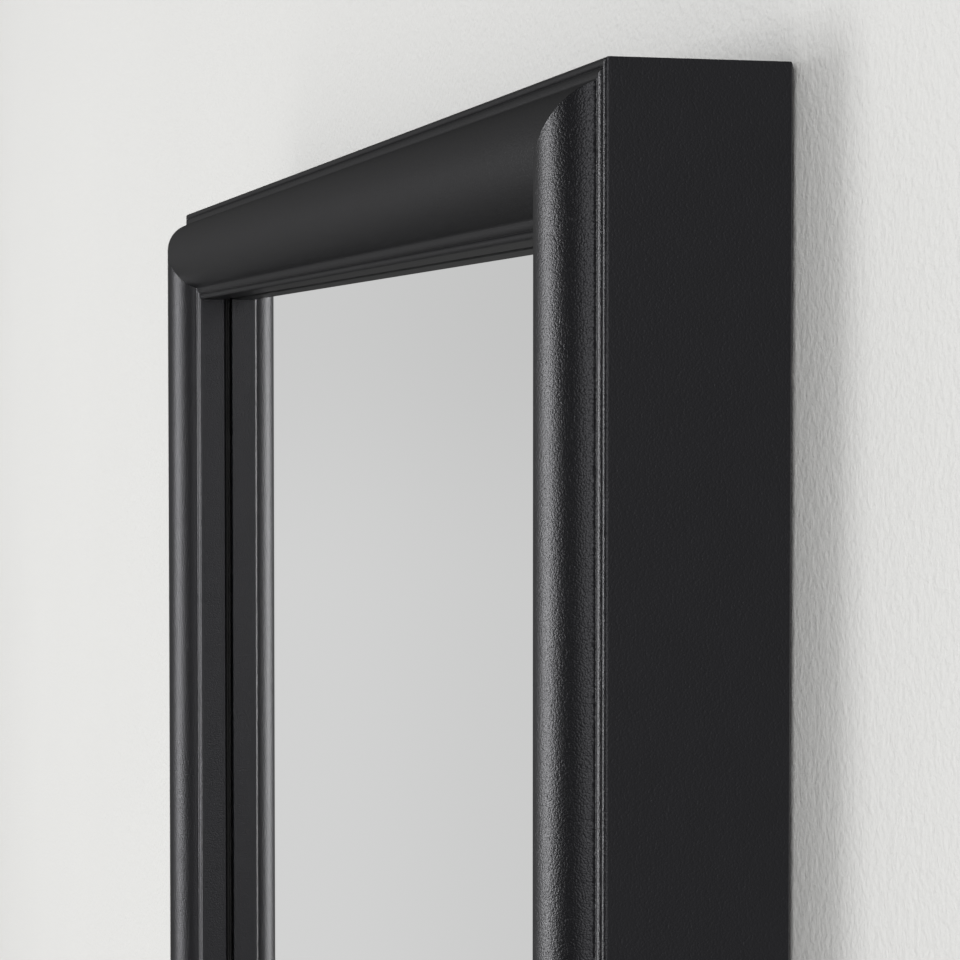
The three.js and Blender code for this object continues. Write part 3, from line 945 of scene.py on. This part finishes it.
def mitred_length(section, half_length, sizes, steps=3, spans=12):
    """The section carried along a rail. Points are (along, level, inward). An end lies where
    along = half length - inward - the glue line's share, which makes the mitre, and its edge is
    drawn in along a quarter circle."""
    insets, depths = quarter_round(sizes.mitre_edge, steps)
    places = np.linspace(-1, 1, spans + 1)[1:-1]
    signs = np.concatenate([-np.ones(steps + 1), places, np.ones(steps + 1)])
    insets = np.concatenate([insets[::-1], np.zeros(spans - 1), insets])
    depths = np.concatenate([depths[::-1], np.zeros(spans - 1), depths])
    rings = []
    for sign, inset, depth in zip(signs, insets, depths):
        inward, level = drawn_in(section, inset).T
        end = half_length - inward - sizes.mitre_gap / math.sqrt(2) - depth * math.sqrt(2)
        rings.append(np.stack([sign * end, level, inward], -1))
    return skin(np.array(rings))


def bore(centre, radius, front, back, sides=32):
    """A round cutter along Y between two places."""
    return facing_wall(turned([radius, radius], [front, back], sides), centre)


def nail_outline(node, thickness, play=0):
    """A corner nail's outline in X and Z: two legs from an elbow, which is its corner nearest
    the frame's middle. Play widens and lengthens it."""
    low, high = corners(node)
    away = np.sign(middle(node) - FRAME_MIDDLE)[[0, 2]]
    long_x, long_z = (high - low)[[0, 2]] + 2 * play
    thick = thickness + 2 * play
    points = [(0, 0), (long_x, 0), (long_x, thick), (thick, thick), (thick, long_z), (0, long_z)]
    elbow = np.where(away > 0, low[[0, 2]], high[[0, 2]]) - play * away
    return elbow + np.array(points) * away


def rail_cutters(side, sizes):
    """Pilot holes, corner nails' slots and felt pads' beds, where the frame's nodes lie."""
    beyond = 2 * MM
    screws = [node for node in named("hanger_screw_") if f"_{side.name}_" in node]
    screws += [node for node in named("turn_button_screw_") if f"_{side.name}" in node]
    cutters = []
    for node in screws:
        low, _ = corners(node)
        radius = sizes.shank_radius + sizes.pilot_play
        cutters.append(bore(middle(node), radius, low[1] - sizes.pilot_play, beyond - LEDGE))
    for node in named("corner_nail_"):
        low, high = corners(node)
        slot = nail_outline(node, sizes.nail_thickness, sizes.nail_play)
        heights = [low[1] - sizes.nail_play, high[1] + beyond]
        cutters.append(facing_wall(prism(slot, heights, [0, 0])))
    for node in named(f"wall_pad_{side.name}_"):
        low, _ = corners(node)
        radius = extent(node)[0] / 2 + sizes.pad_gap
        cutters.append(bore(middle(node), radius, low[1], beyond))
    return cutters


def panel_shape(node, corner, heights, insets):
    """A sheet across the mirror that fills the node's outline, with an inset at each height."""
    half = extent(node) / 2
    outline = rectangle(half[0], half[2], corner)
    return facing_wall(prism(outline, heights, insets), middle(node))


def soft_bar(node, radius, ripple, pitch, spacing):
    """A bar as long as the node, with rounded edges and ends. Its section draws in by the ripple
    times (1 + sin(2 pi x / pitch) sin(x / pitch)) / 2 at each place x along it."""
    end_round = 0.8 * radius
    low, high = corners(node)
    long_axis = int(np.argmax(high - low))
    others = [axis for axis in (0, 1, 2) if axis != long_axis]
    half = (high - low) / 2
    reach = half[long_axis]
    section = rectangle(half[others[0]], half[others[1]], radius)
    heights, insets = rounded_ends(-reach, reach, end_round)
    places = np.linspace(-reach, reach, max(2, int(2 * reach / spacing)) + 2)[1:-1]
    places = places[np.abs(places) < reach - radius]
    split = len(heights) // 2
    heights = np.concatenate([heights[:split], places, heights[split:]])
    wave = np.sin(2 * math.pi * places / pitch) * np.sin(places / pitch)
    insets = np.concatenate([insets[:split], ripple * (1 + wave) / 2, insets[split:]])
    axes = np.eye(3)
    shape = prism(section, heights, insets)
    return placed(shape, (low + high) / 2, axes[others[0]], axes[others[1]], axes[long_axis])


def screw_shape(sizes, length, head_radius, sides=36, steps_a_turn=10, dome_degrees=84):
    """A wood screw on the third axis, its head's underside at zero. The thread's radius at height
    z and angle a is the core plus a ridge where z / pitch - a / turn is a half more than a whole
    number; it tapers to the point. The head is a straight rim under part of an ellipse."""
    flat_top, flank, blunt = 1.7, 4.2, 0.03
    count = int(length / sizes.thread_pitch * steps_a_turn)
    z = np.linspace(-length, 0, count)
    turn = np.linspace(0, 1, sides, endpoint=False)
    phase = np.mod(z[:, None] / sizes.thread_pitch - turn[None], 1)
    ridge = np.clip(flat_top - flank * np.abs(phase - 0.5), 0, 1)
    core = sizes.shank_radius - sizes.thread_depth
    taper = np.clip((z + length) / sizes.screw_point, blunt, 1)[:, None]
    fade = np.clip(-z / sizes.thread_pitch, 0, 1)[:, None]
    shank = taper * (core + sizes.thread_depth * ridge * fade)
    a = np.radians(np.linspace(0, dome_degrees, 12))
    dome = sizes.head_rim + (sizes.head_height - sizes.head_rim) * np.sin(a)
    rim = [(head_radius - sizes.head_edge, 0), (head_radius, sizes.head_edge)]
    head = np.vstack([rim, np.stack([head_radius * np.cos(a), dome], -1)])
    radii = np.vstack([shank, np.broadcast_to(head[:, :1], (len(head), sides))])
    return turned(radii, np.concatenate([z, head[:, 1]]), sides)


def cross_cutter(sizes):
    """The cross recess: a cross outline that narrows from above the head to the recess's floor."""
    floor_scale, throat_scale, top_scale = 0.45, 0.7, 1.12
    throat, beyond = 0.25 * MM, 1 * MM
    arm, half = sizes.recess_length / 2, sizes.recess_width / 2
    quarter = np.array([(arm, -half), (arm, half), (half, half)])
    turns = [np.array([[c, s], [-s, c]]) for c, s in ((1, 0), (0, 1), (-1, 0), (0, -1))]
    cross = np.vstack([quarter @ turn for turn in turns])
    floor, top = sizes.head_height - sizes.recess_depth, sizes.head_height + beyond
    levels = (floor, floor_scale), (floor + throat, throat_scale), (top, top_scale)
    rings = [np.column_stack([cross * scale, np.full(len(cross), z)]) for z, scale in levels]
    return skin(np.array(rings))


class Hanger(NamedTuple):
    """Where a hanger lies: the ledge's point under its eye, its directions and its sizes."""

    origin: np.ndarray
    lead: np.ndarray
    across: np.ndarray
    eye: float
    length: float
    width: float


def hanger_place(side):
    """A hanger's place, from its strap's node. Its lead goes from the eye to the strap's tip, the
    end that its screws are nearer to."""
    strap = f"hanger_strap_{side.name}"
    low, high = corners(strap)
    screws = np.mean([middle(f"hanger_screw_{side.name}_{i}") for i in (1, 2)], axis=0)
    along = np.abs(np.array(side.along, float))
    lead = along * np.sign((screws - middle(strap)) @ along)
    span = (high - low) @ along
    eye = (high - low)[1] / 2
    origin = middle(strap) - lead * (span / 2 - eye)
    origin[1] = low[1]
    across = np.cross(lead, TO_WALL)
    width = (high - low) @ np.abs(across)
    return Hanger(origin, lead, across, eye, span - eye, width)


def strap_shape(place, sizes, roll_degrees=292, steps=4, tip_steps=14, roll_steps=48):
    """A strip with a round tip, rolled to an eye. Its section is a rounded rectangle, and each
    point of it keeps its inset from the strip's outline, so the tip follows a smaller half
    circle there. Past the eye's axis the strip bends round it: a point at height h goes to the
    radius eye - h."""
    thick, edge = sizes.strap_thickness, sizes.plate_edge
    rim_height, rim_inset = quarter_round(edge, steps)
    flat = np.linspace(-1, 1, 9)[1:-1]
    across = np.concatenate([flat, np.ones(2 * steps + 2), -flat, -np.ones(2 * steps + 2)])
    still = np.full(len(flat), edge)
    rim = np.concatenate([rim_inset, rim_inset[::-1]])
    inset = np.concatenate([still, rim, still, rim])
    rise = np.concatenate([rim_height, thick - rim_height[::-1]])
    low_side = np.zeros(len(flat))
    height = np.concatenate([low_side, rise, low_side + thick, rise[::-1]])
    half = place.width / 2
    tip = np.radians(np.linspace(0, 90, tip_steps + 1))[:, None]
    tip_run = inset + (half - inset) * (1 - np.cos(tip))
    tip_across = across * (half - inset) * np.sin(tip)
    middle_radius = place.eye - thick / 2
    bend_run = math.radians(roll_degrees) * middle_radius
    straight = np.linspace(half, place.length, 8)[1:]
    rolled = place.length + np.linspace(0, bend_run, roll_steps + 1)[1:]
    body = np.concatenate([straight, rolled])[:, None]
    body_shape = (len(body), len(inset))
    run = np.vstack([tip_run, np.broadcast_to(body, body_shape)])
    side = np.vstack([tip_across, np.broadcast_to(across * (half - inset), body_shape)])
    bend = np.clip((run - place.length) / middle_radius, 0, None)
    radius = place.eye - height
    x = np.where(bend > 0, -radius * np.sin(bend), place.length - run)
    y = np.where(bend > 0, place.eye - radius * np.cos(bend), height)
    shape = skin(np.stack([x, y, side], -1), first_end=False)
    return placed(shape, place.origin, place.lead, TO_WALL, place.across)


def ring_shape(node, place, corner, count=200, sides=20, bend_steps=12, loop_steps=64):
    """Round wire along a closed line: a bar through the eye, two bends, two straight sides and
    half a circle. A section's circle stands square to the line."""
    spans = extent(node)
    wire = spans[1] / 2
    half = spans @ np.abs(place.across) / 2 - wire
    straight = spans @ np.abs(place.lead) - 2 * wire - half
    line = np.vstack(
        [
            arc((corner, half - corner), corner, 180, 90, bend_steps),
            arc((straight, 0), half, 90, -90, loop_steps),
            arc((corner, corner - half), corner, -90, -180, bend_steps),
        ]
    )
    closed, run = run_of(line)
    even = point_at(closed, run, np.linspace(0, run[-1], count, endpoint=False))
    ahead = np.roll(even, -1, axis=0) - np.roll(even, 1, axis=0)
    ahead /= np.linalg.norm(ahead, axis=1, keepdims=True)
    a = np.linspace(0, 2 * math.pi, sides, endpoint=False)
    square = np.stack([-ahead[:, 1], ahead[:, 0]], -1)[:, None]
    flat = even[:, None] + square * np.cos(a)[None, :, None] * wire
    rise = np.broadcast_to(wire * np.sin(a) + place.eye, flat.shape[:2])
    rings = np.stack([flat[..., 0], rise, flat[..., 1]], -1)
    return placed(skin(rings, looped=True), place.origin, place.lead, TO_WALL, place.across)


def button_shape(node, screw, side, sizes, steps=4, tip_steps=24, round_steps=40):
    """A stamped turn button with a hole. Its outline is the hull of two circles. Each section
    goes along the rim to the back and along the hole to the front, with quarter-round edges."""
    inward = -np.array(side.outward, float)
    across = np.cross(TO_WALL, inward)
    pivot = middle(screw)
    low, high = corners(node)
    big = (high - low) @ np.abs(across) / 2
    arm = (high - low) @ np.abs(inward) - big - sizes.button_tip
    slope = math.degrees(math.asin((big - sizes.button_tip) / arm))
    tip = arc((0, arm), sizes.button_tip, slope, 180 - slope, tip_steps)
    outline = np.vstack([tip, arc((0, 0), big, 180 - slope, 360 + slope, round_steps)])
    a = np.arctan2(outline[:, 1], outline[:, 0])
    spokes = np.stack([np.cos(a), np.sin(a)], -1)
    hole = sizes.shank_radius + sizes.hole_play
    rise, draw = quarter_round(sizes.plate_edge, steps)
    rim = np.concatenate([draw, draw[::-1]])
    rim_height = np.concatenate([rise, high[1] - low[1] - rise[::-1]])
    outer = level_rings(outline, rim_height, rim)
    inner = np.concatenate(
        [
            np.broadcast_to(spokes, (len(rim), *spokes.shape)) * (hole + rim[::-1, None, None]),
            np.broadcast_to(rim_height[::-1, None, None], (len(rim), len(spokes), 1)),
        ],
        -1,
    )
    shape = skin(np.concatenate([outer, inner]), looped=True)
    return placed(shape, (pivot[0], low[1], pivot[2]), across, inward, TO_WALL)


class MIRROR_OT_rails(Operator):
    """Sweeps the four rails, cuts their holes and slots, and wraps them in black foil"""

    bl_idname = "mirror.rails"
    bl_label = "Rails"

    def execute(self, context):
        settings = context.scene.wall_mirror
        section, bare = moulding_section(settings.moulding)
        materials = [black_foil(settings.foil), raw_fibreboard(settings.foil)]
        for side in SIDES:
            shape = mitred_length(section, FRAME_HALF @ np.abs(side.along), settings.moulding)
            kinds = np.tile(bare, len(shape.quads) // len(bare)).astype(int)
            kinds = np.concatenate([kinds, [0, 0]])
            outward = np.array(side.outward)
            outer_edge = FRAME_MIDDLE * (1, 0, 1) + outward * (FRAME_HALF @ np.abs(outward))
            shape = placed(shape, outer_edge, side.along, -np.array(TO_WALL), -outward)
            rail = new_piece(f"wrapped_{side.rail}", shape, materials, kinds)
            carved(rail, rail_cutters(side, settings.fittings), kind=1)
            even_normals(rail)
            dress(rail, "black_foil", side.rail)
        return {"FINISHED"}


class MIRROR_OT_glass(Operator):
    """Makes the silvered glass with its ground edge and painted back"""

    bl_idname = "mirror.glass"
    bl_label = "Mirror glass"

    def execute(self, context):
        sizes = context.scene.wall_mirror.glass
        low, high = corners("mirror_glass")
        arris = sizes.arris
        heights = [low[1], low[1] + arris, high[1] - arris, high[1]]
        shape = panel_shape("mirror_glass", sizes.corner, heights, [arris, 0, 0, arris])
        front, edge, back = 0, 1, 2
        kinds = [edge] * len(shape.quads) + [front, back]
        materials = [mirror_silver(sizes), ground_glass(sizes), backing_paint(sizes)]
        glass = new_piece("silvered_glass", shape, materials, kinds)
        dress(glass, "mirror_silver", "mirror_glass")
        spare(glass, bpy.data.objects["key_lamp"])
        return {"FINISHED"}


class MIRROR_OT_sheets(Operator):
    """Makes the hardboard back and the safety film on the glass's back"""

    bl_idname = "mirror.sheets"
    bl_label = "Board and film"

    def execute(self, context):
        soft = context.scene.wall_mirror.soft
        corner = context.scene.wall_mirror.glass.corner
        low, high = corners("back_board")
        shape = panel_shape("back_board", corner, *rounded_ends(low[1], high[1], soft.edge))
        board = new_piece("pressed_board", shape, [hardboard(soft)])
        dress(board, "hardboard", "back_board")
        low, high = corners("safety_film")
        shape = panel_shape("safety_film", corner, [low[1], high[1]], [0, 0])
        film = new_piece("woven_film", shape, [safety_film(soft)])
        dress(film, "grey_film", "safety_film")
        return {"FINISHED"}


class MIRROR_OT_soft_pieces(Operator):
    """Makes the foam strips, the rubber edge pads and the felt wall pads"""

    bl_idname = "mirror.soft_pieces"
    bl_label = "Foam, rubber and felt"

    def execute(self, context):
        soft = context.scene.wall_mirror.soft
        for node in named("foam_strip_"):
            shape = soft_bar(node, soft.edge, soft.ripple, pitch=23 * MM, spacing=5 * MM)
            strip = new_piece(node.replace("foam_strip", "soft_strip"), shape, [soft_foam(soft)])
            dress(strip, "black_foam", node)
        for node in named("edge_pad_"):
            shape = soft_bar(node, soft.edge, 2 * soft.ripple, pitch=2.5 * MM, spacing=0.5 * MM)
            pad = new_piece(node.replace("edge_pad", "rubber_pad"), shape, [pad_rubber(soft)])
            dress(pad, "pad_rubber", node)
        for node in named("wall_pad_"):
            low, high = corners(node)
            heights, insets = rounded_ends(low[1], high[1], soft.edge)
            shape = turned(extent(node)[0] / 2 - insets, heights, sides=48)
            shape = facing_wall(shape, middle(node))
            pad = new_piece(node.replace("wall_pad", "felt_pad"), shape, [pressed_felt(soft)])
            dress(pad, "felt", node)
        return {"FINISHED"}


class MIRROR_OT_screws(Operator):
    """Cuts one wood screw's thread and cross recess, and drives a copy in each screw's place"""

    bl_idname = "mirror.screws"
    bl_label = "Screws"

    def execute(self, context):
        uneven_turn = math.radians(137.5)
        sizes = context.scene.wall_mirror.fittings
        nodes = named("hanger_screw_") + named("turn_button_screw_")
        spans = extent(nodes[0])
        shape = screw_shape(sizes, spans[1] - sizes.head_height, spans[0] / 2)
        pattern = new_piece("screw_pattern", shape, [zinc_plate(sizes)])
        carved(pattern, [cross_cutter(sizes)])
        upright = Matrix(((1, 0, 0), (0, 0, 1), (0, -1, 0))).to_4x4()
        for number, node in enumerate(nodes):
            _, high = corners(node)
            seat = middle(node) * (1, 0, 1) + (high[1] - sizes.head_height) * np.array(TO_WALL)
            spin = Matrix.Rotation(uneven_turn * number, 4, "Z")
            mesh = pattern.data.copy()
            mesh.transform(Matrix.Translation(Vector(seat)) @ upright @ spin)
            screw = bpy.data.objects.new(f"threaded_{node}", mesh)
            context.scene.collection.objects.link(screw)
            dress(screw, "zinc_steel", node)
        bpy.data.meshes.remove(pattern.data)
        return {"FINISHED"}


class MIRROR_OT_hangers(Operator):
    """Rolls the four straps' eyes and bends the four wire rings"""

    bl_idname = "mirror.hangers"
    bl_label = "Hangers"

    def execute(self, context):
        beyond = 1 * MM
        sizes = context.scene.wall_mirror.fittings
        zinc = [zinc_plate(sizes)]
        for side in SIDES:
            place = hanger_place(side)
            shape = strap_shape(place, sizes)
            strap = new_piece(f"rolled_strap_{side.name}", shape, zinc, merged=True)
            radius = sizes.shank_radius + sizes.hole_play
            front, back = place.origin[1], place.origin[1] + sizes.strap_thickness
            centres = [middle(f"hanger_screw_{side.name}_{i}") for i in (1, 2)]
            carved(strap, [bore(at, radius, front - beyond, back + beyond) for at in centres])
            dress(strap, "zinc_steel", f"hanger_strap_{side.name}")
            node = f"hanger_ring_{side.name}"
            shape = ring_shape(node, place, sizes.ring_corner)
            ring = new_piece(f"wire_ring_{side.name}", shape, zinc)
            dress(ring, "zinc_steel", node)
        return {"FINISHED"}


class MIRROR_OT_turn_buttons(Operator):
    """Stamps the six turn buttons that hold the board"""

    bl_idname = "mirror.turn_buttons"
    bl_label = "Turn buttons"

    def execute(self, context):
        sizes = context.scene.wall_mirror.fittings
        for side in SIDES:
            for screw in named(f"turn_button_screw_{side.name}"):
                node = screw.replace("_screw", "")
                shape = button_shape(node, screw, side, sizes)
                button = new_piece(f"stamped_{node}", shape, [zinc_plate(sizes)])
                dress(button, "zinc_steel", node)
        return {"FINISHED"}


class MIRROR_OT_corner_nails(Operator):
    """Makes the right-angled strips that hold the mitres"""

    bl_idname = "mirror.corner_nails"
    bl_label = "Corner nails"

    def execute(self, context):
        sizes = context.scene.wall_mirror.fittings
        reaches = [sizes.nail_elbow] + [sizes.nail_edge] * 5
        for node in named("corner_nail_"):
            low, high = corners(node)
            outline, _ = softened(nail_outline(node, sizes.nail_thickness), reaches)
            shape = prism(outline, *rounded_ends(low[1], high[1], sizes.nail_edge))
            nail = new_piece(f"driven_{node}", facing_wall(shape), [nail_steel(sizes)])
            dress(nail, "nail_steel", node)
        return {"FINISHED"}


# The room's tone in gloss, by the angle in degrees from the viewer's side towards +X
ROOM_TONES = (
    (-180, 0.5),
    (-140, 0.4),
    (-105, 0.01),
    (-75, 0.17),
    (-50, 0.24),
    (-25, 0.01),
    (50, 0.01),
    (75, 0.75),
    (105, 0.55),
    (140, 0.3),
    (180, 0.5),
)
# How much lighter gloss shows the room overhead, and how blue its tones are
ROOM_RISE = 0.05
ROOM_BLUE = 0.995
ROOM_WHITE = (0.86, 0.86, 0.855)
# The pale wall that the mirror shows, a little darker towards the viewer's side and above
MIRROR_TONE = (0.69, 0.65)
MIRROR_TURN = (-0.19, -0.28)
MIRROR_ABOVE = 0.92
MIRROR_HEIGHTS = (-0.08, 0.03)
# After more steps than this, a mirror's ray meets the room's tones for gloss
MIRROR_STEPS = 2.5

CAMERA_PLACE = (0.76870, -0.19582, 0.18855)
CAMERA_YAW = 14.6553
CAMERA_PITCH = -2.0053
CAMERA_LENS = 105.338
CAMERA_SENSOR = 36.0
CAMERA_NEAR = 0.01

KEY_PLACE = (-0.478, -1.445, 0.05)
WASH_PLACE = (-1.415, -2.236, 0.0)
FILL_PLACE = (3.8, -1.95, 0.3)
STAGE_HALF = 15.0
WALL_GAP = 0.2 * MM


def stage_plane(name, start, rise, material):
    """A flat square of the stage, from its start along X and along another direction."""
    start, rise, across = np.array(start), np.array(rise), np.array((2 * STAGE_HALF, 0, 0))
    points = [start, start + across, start + across + rise, start + rise]
    mesh = bpy.data.meshes.new(name)
    mesh.from_pydata([point.tolist() for point in points], [], [(0, 1, 2, 3)])
    mesh.materials.append(material)
    plane = bpy.data.objects.new(name, mesh)
    bpy.context.scene.collection.objects.link(plane)
    plane.visible_glossy = False
    return plane


def soft_lamp(name, place, width, height, watts):
    """A rectangular lamp at a place, facing the origin, behind the mirror's upper part."""
    light = bpy.data.lights.new(name, "AREA")
    light.shape = "RECTANGLE"
    light.size = width
    light.size_y = height
    light.energy = watts
    lamp = bpy.data.objects.new(name, light)
    lamp.location = place
    lamp.rotation_euler = (-Vector(place)).to_track_quat("-Z", "Y").to_euler()
    lamp.visible_camera = False
    bpy.context.scene.collection.objects.link(lamp)
    return lamp


def ramp_between(tree, value, start, end, tones):
    """A smooth change between two tones while the value goes from start to end."""
    inputs = {"Value": value, "From Min": start, "From Max": end}
    inputs |= {"To Min": tones[0], "To Max": tones[1]}
    node = add(tree, "ShaderNodeMapRange", inputs, interpolation_type="SMOOTHSTEP")
    return node.outputs["Result"]


def room_world(studio):
    """The room: plain white to the camera, even light on matt surfaces, a pale wall in the mirror,
    and for gloss a tone that changes with the angle round the object."""
    world = bpy.data.worlds.new("room")
    world.use_nodes = True
    tree = world.node_tree
    tree.nodes.clear()
    direction = add(tree, "ShaderNodeTexCoord").outputs["Generated"]
    parts = add(tree, "ShaderNodeSeparateXYZ", {0: direction}).outputs
    viewer = maths(tree, "MULTIPLY", parts["Y"], -1.0)
    round_object = maths(tree, "ARCTAN2", parts["X"], viewer)
    turn = maths(tree, "MULTIPLY_ADD", round_object, 0.5 / math.pi, 0.5)
    ramp = add(tree, "ShaderNodeValToRGB", {0: turn})
    stops = ramp.color_ramp.elements
    while len(stops) > 1:
        stops.remove(stops[-1])
    for number, (degrees, tone) in enumerate(ROOM_TONES):
        place = degrees / 360 + 0.5
        stop = stops[0] if number == 0 else stops.new(place)
        stop.position = place
        stop.color = (tone, tone, tone * ROOM_BLUE, 1)
    rise = maths(tree, "MULTIPLY_ADD", parts["Z"], ROOM_RISE, 1.0)
    beside = ramp_between(tree, parts["Y"], *MIRROR_TURN, MIRROR_TONE)
    above = ramp_between(tree, parts["Z"], *MIRROR_HEIGHTS, (1.0, MIRROR_ABOVE))
    white = (1, 1, 1, 1)
    seen = add(tree, "ShaderNodeBackground", {0: (*ROOM_WHITE, 1)})
    gloss = add(tree, "ShaderNodeBackground", {0: ramp.outputs[0], 1: rise})
    pale = maths(tree, "MULTIPLY", beside, above)
    mirrored = add(tree, "ShaderNodeBackground", {0: white, 1: pale})
    light = add(tree, "ShaderNodeBackground", {0: white, 1: studio.ambient})
    paths = add(tree, "ShaderNodeLightPath").outputs
    clear = maths(tree, "MAXIMUM", paths["Is Singular Ray"], paths["Is Transmission Ray"])
    direct = maths(tree, "LESS_THAN", paths["Ray Depth"], MIRROR_STEPS)
    clear = maths(tree, "MULTIPLY", clear, direct)
    choices = (paths["Is Glossy Ray"], gloss), (clear, mirrored), (paths["Is Camera Ray"], seen)
    for chosen, source in choices:
        inputs = {0: chosen, 1: light.outputs[0], 2: source.outputs[0]}
        light = add(tree, "ShaderNodeMixShader", inputs)
    output = add(tree, "ShaderNodeOutputWorld", {"Surface": light.outputs[0]})
    output.is_active_output = True
    world.cycles.sampling_method = "NONE"
    return world


def photo_camera():
    """The camera that the photograph was taken from, fitted to the frame's corners and edges."""
    camera = bpy.data.cameras.new("camera")
    camera.sensor_width = CAMERA_SENSOR
    camera.lens = CAMERA_LENS
    camera.clip_start = CAMERA_NEAR
    viewer = bpy.data.objects.new("camera", camera)
    yaw, pitch = math.radians(CAMERA_YAW), math.radians(CAMERA_PITCH)
    level = math.cos(pitch)
    forward = Vector((-math.cos(yaw) * level, math.sin(yaw) * level, math.sin(pitch)))
    viewer.location = CAMERA_PLACE
    viewer.rotation_euler = forward.to_track_quat("-Z", "Y").to_euler()
    return viewer


class MIRROR_OT_stage(Operator):
    """Sets up the wall, the floor, the room, three soft lamps and the camera"""

    bl_idname = "mirror.stage"
    bl_label = "Stage"

    def execute(self, context):
        scene = context.scene
        studio = scene.wall_mirror.studio
        floor, deep = FRAME_LOW[2] - studio.floor_drop, 2 * STAGE_HALF
        start = (-STAGE_HALF, WALL_GAP, floor)
        wall = stage_plane("wall", start, (0, 0, deep), rolled_paint(studio))
        wall.visible_shadow = False
        wall.visible_diffuse = False
        stage_plane("floor", (-STAGE_HALF, -STAGE_HALF, floor), (0, deep, 0), plain_floor(studio))
        for name, place, matt, gloss in (
            ("key", KEY_PLACE, False, True),
            ("wash", WASH_PLACE, True, False),
            ("fill", FILL_PLACE, True, True),
        ):
            sizes = [getattr(studio, f"{name}_{key}") for key in ("width", "height", "power")]
            lamp = soft_lamp(f"{name}_lamp", place, *sizes)
            lamp.visible_diffuse = matt
            lamp.visible_glossy = gloss
        scene.world = room_world(studio)
        scene.camera = photo_camera()
        scene.collection.objects.link(scene.camera)
        scene.view_settings.view_transform = "Standard"
        return {"FINISHED"}


OPERATORS = (
    MIRROR_OT_stage,
    MIRROR_OT_rails,
    MIRROR_OT_glass,
    MIRROR_OT_sheets,
    MIRROR_OT_soft_pieces,
    MIRROR_OT_screws,
    MIRROR_OT_hangers,
    MIRROR_OT_turn_buttons,
    MIRROR_OT_corner_nails,
)


class MIRROR_PT_pieces(Panel):
    """The mirror's pieces and settings"""

    bl_label = "Wall Mirror"
    bl_idname = "MIRROR_PT_pieces"
    bl_space_type = "VIEW_3D"
    bl_region_type = "UI"
    bl_category = "Wall Mirror"

    def draw(self, context):
        settings = context.scene.wall_mirror
        for operator in OPERATORS:
            self.layout.operator(operator.bl_idname)
        for name in settings.__annotations__:
            box = self.layout.box()
            box.label(text=name.capitalize())
            part = getattr(settings, name)
            for key in part.__annotations__:
                box.prop(part, key)


CLASSES = (
    MouldingSettings,
    FoilSettings,
    GlassSettings,
    FittingSettings,
    SoftSettings,
    StudioSettings,
    WallMirrorSettings,
    *OPERATORS,
    MIRROR_PT_pieces,
)


def register():
    for part in CLASSES:
        bpy.utils.register_class(part)
    bpy.types.Scene.wall_mirror = PointerProperty(type=WallMirrorSettings)


def unregister():
    del bpy.types.Scene.wall_mirror
    for part in reversed(CLASSES):
        bpy.utils.unregister_class(part)


def main():
    register()
    for operator in OPERATORS:
        group, name = operator.bl_idname.split(".")
        getattr(getattr(bpy.ops, group), name)()


if __name__ == "__main__":
    main()
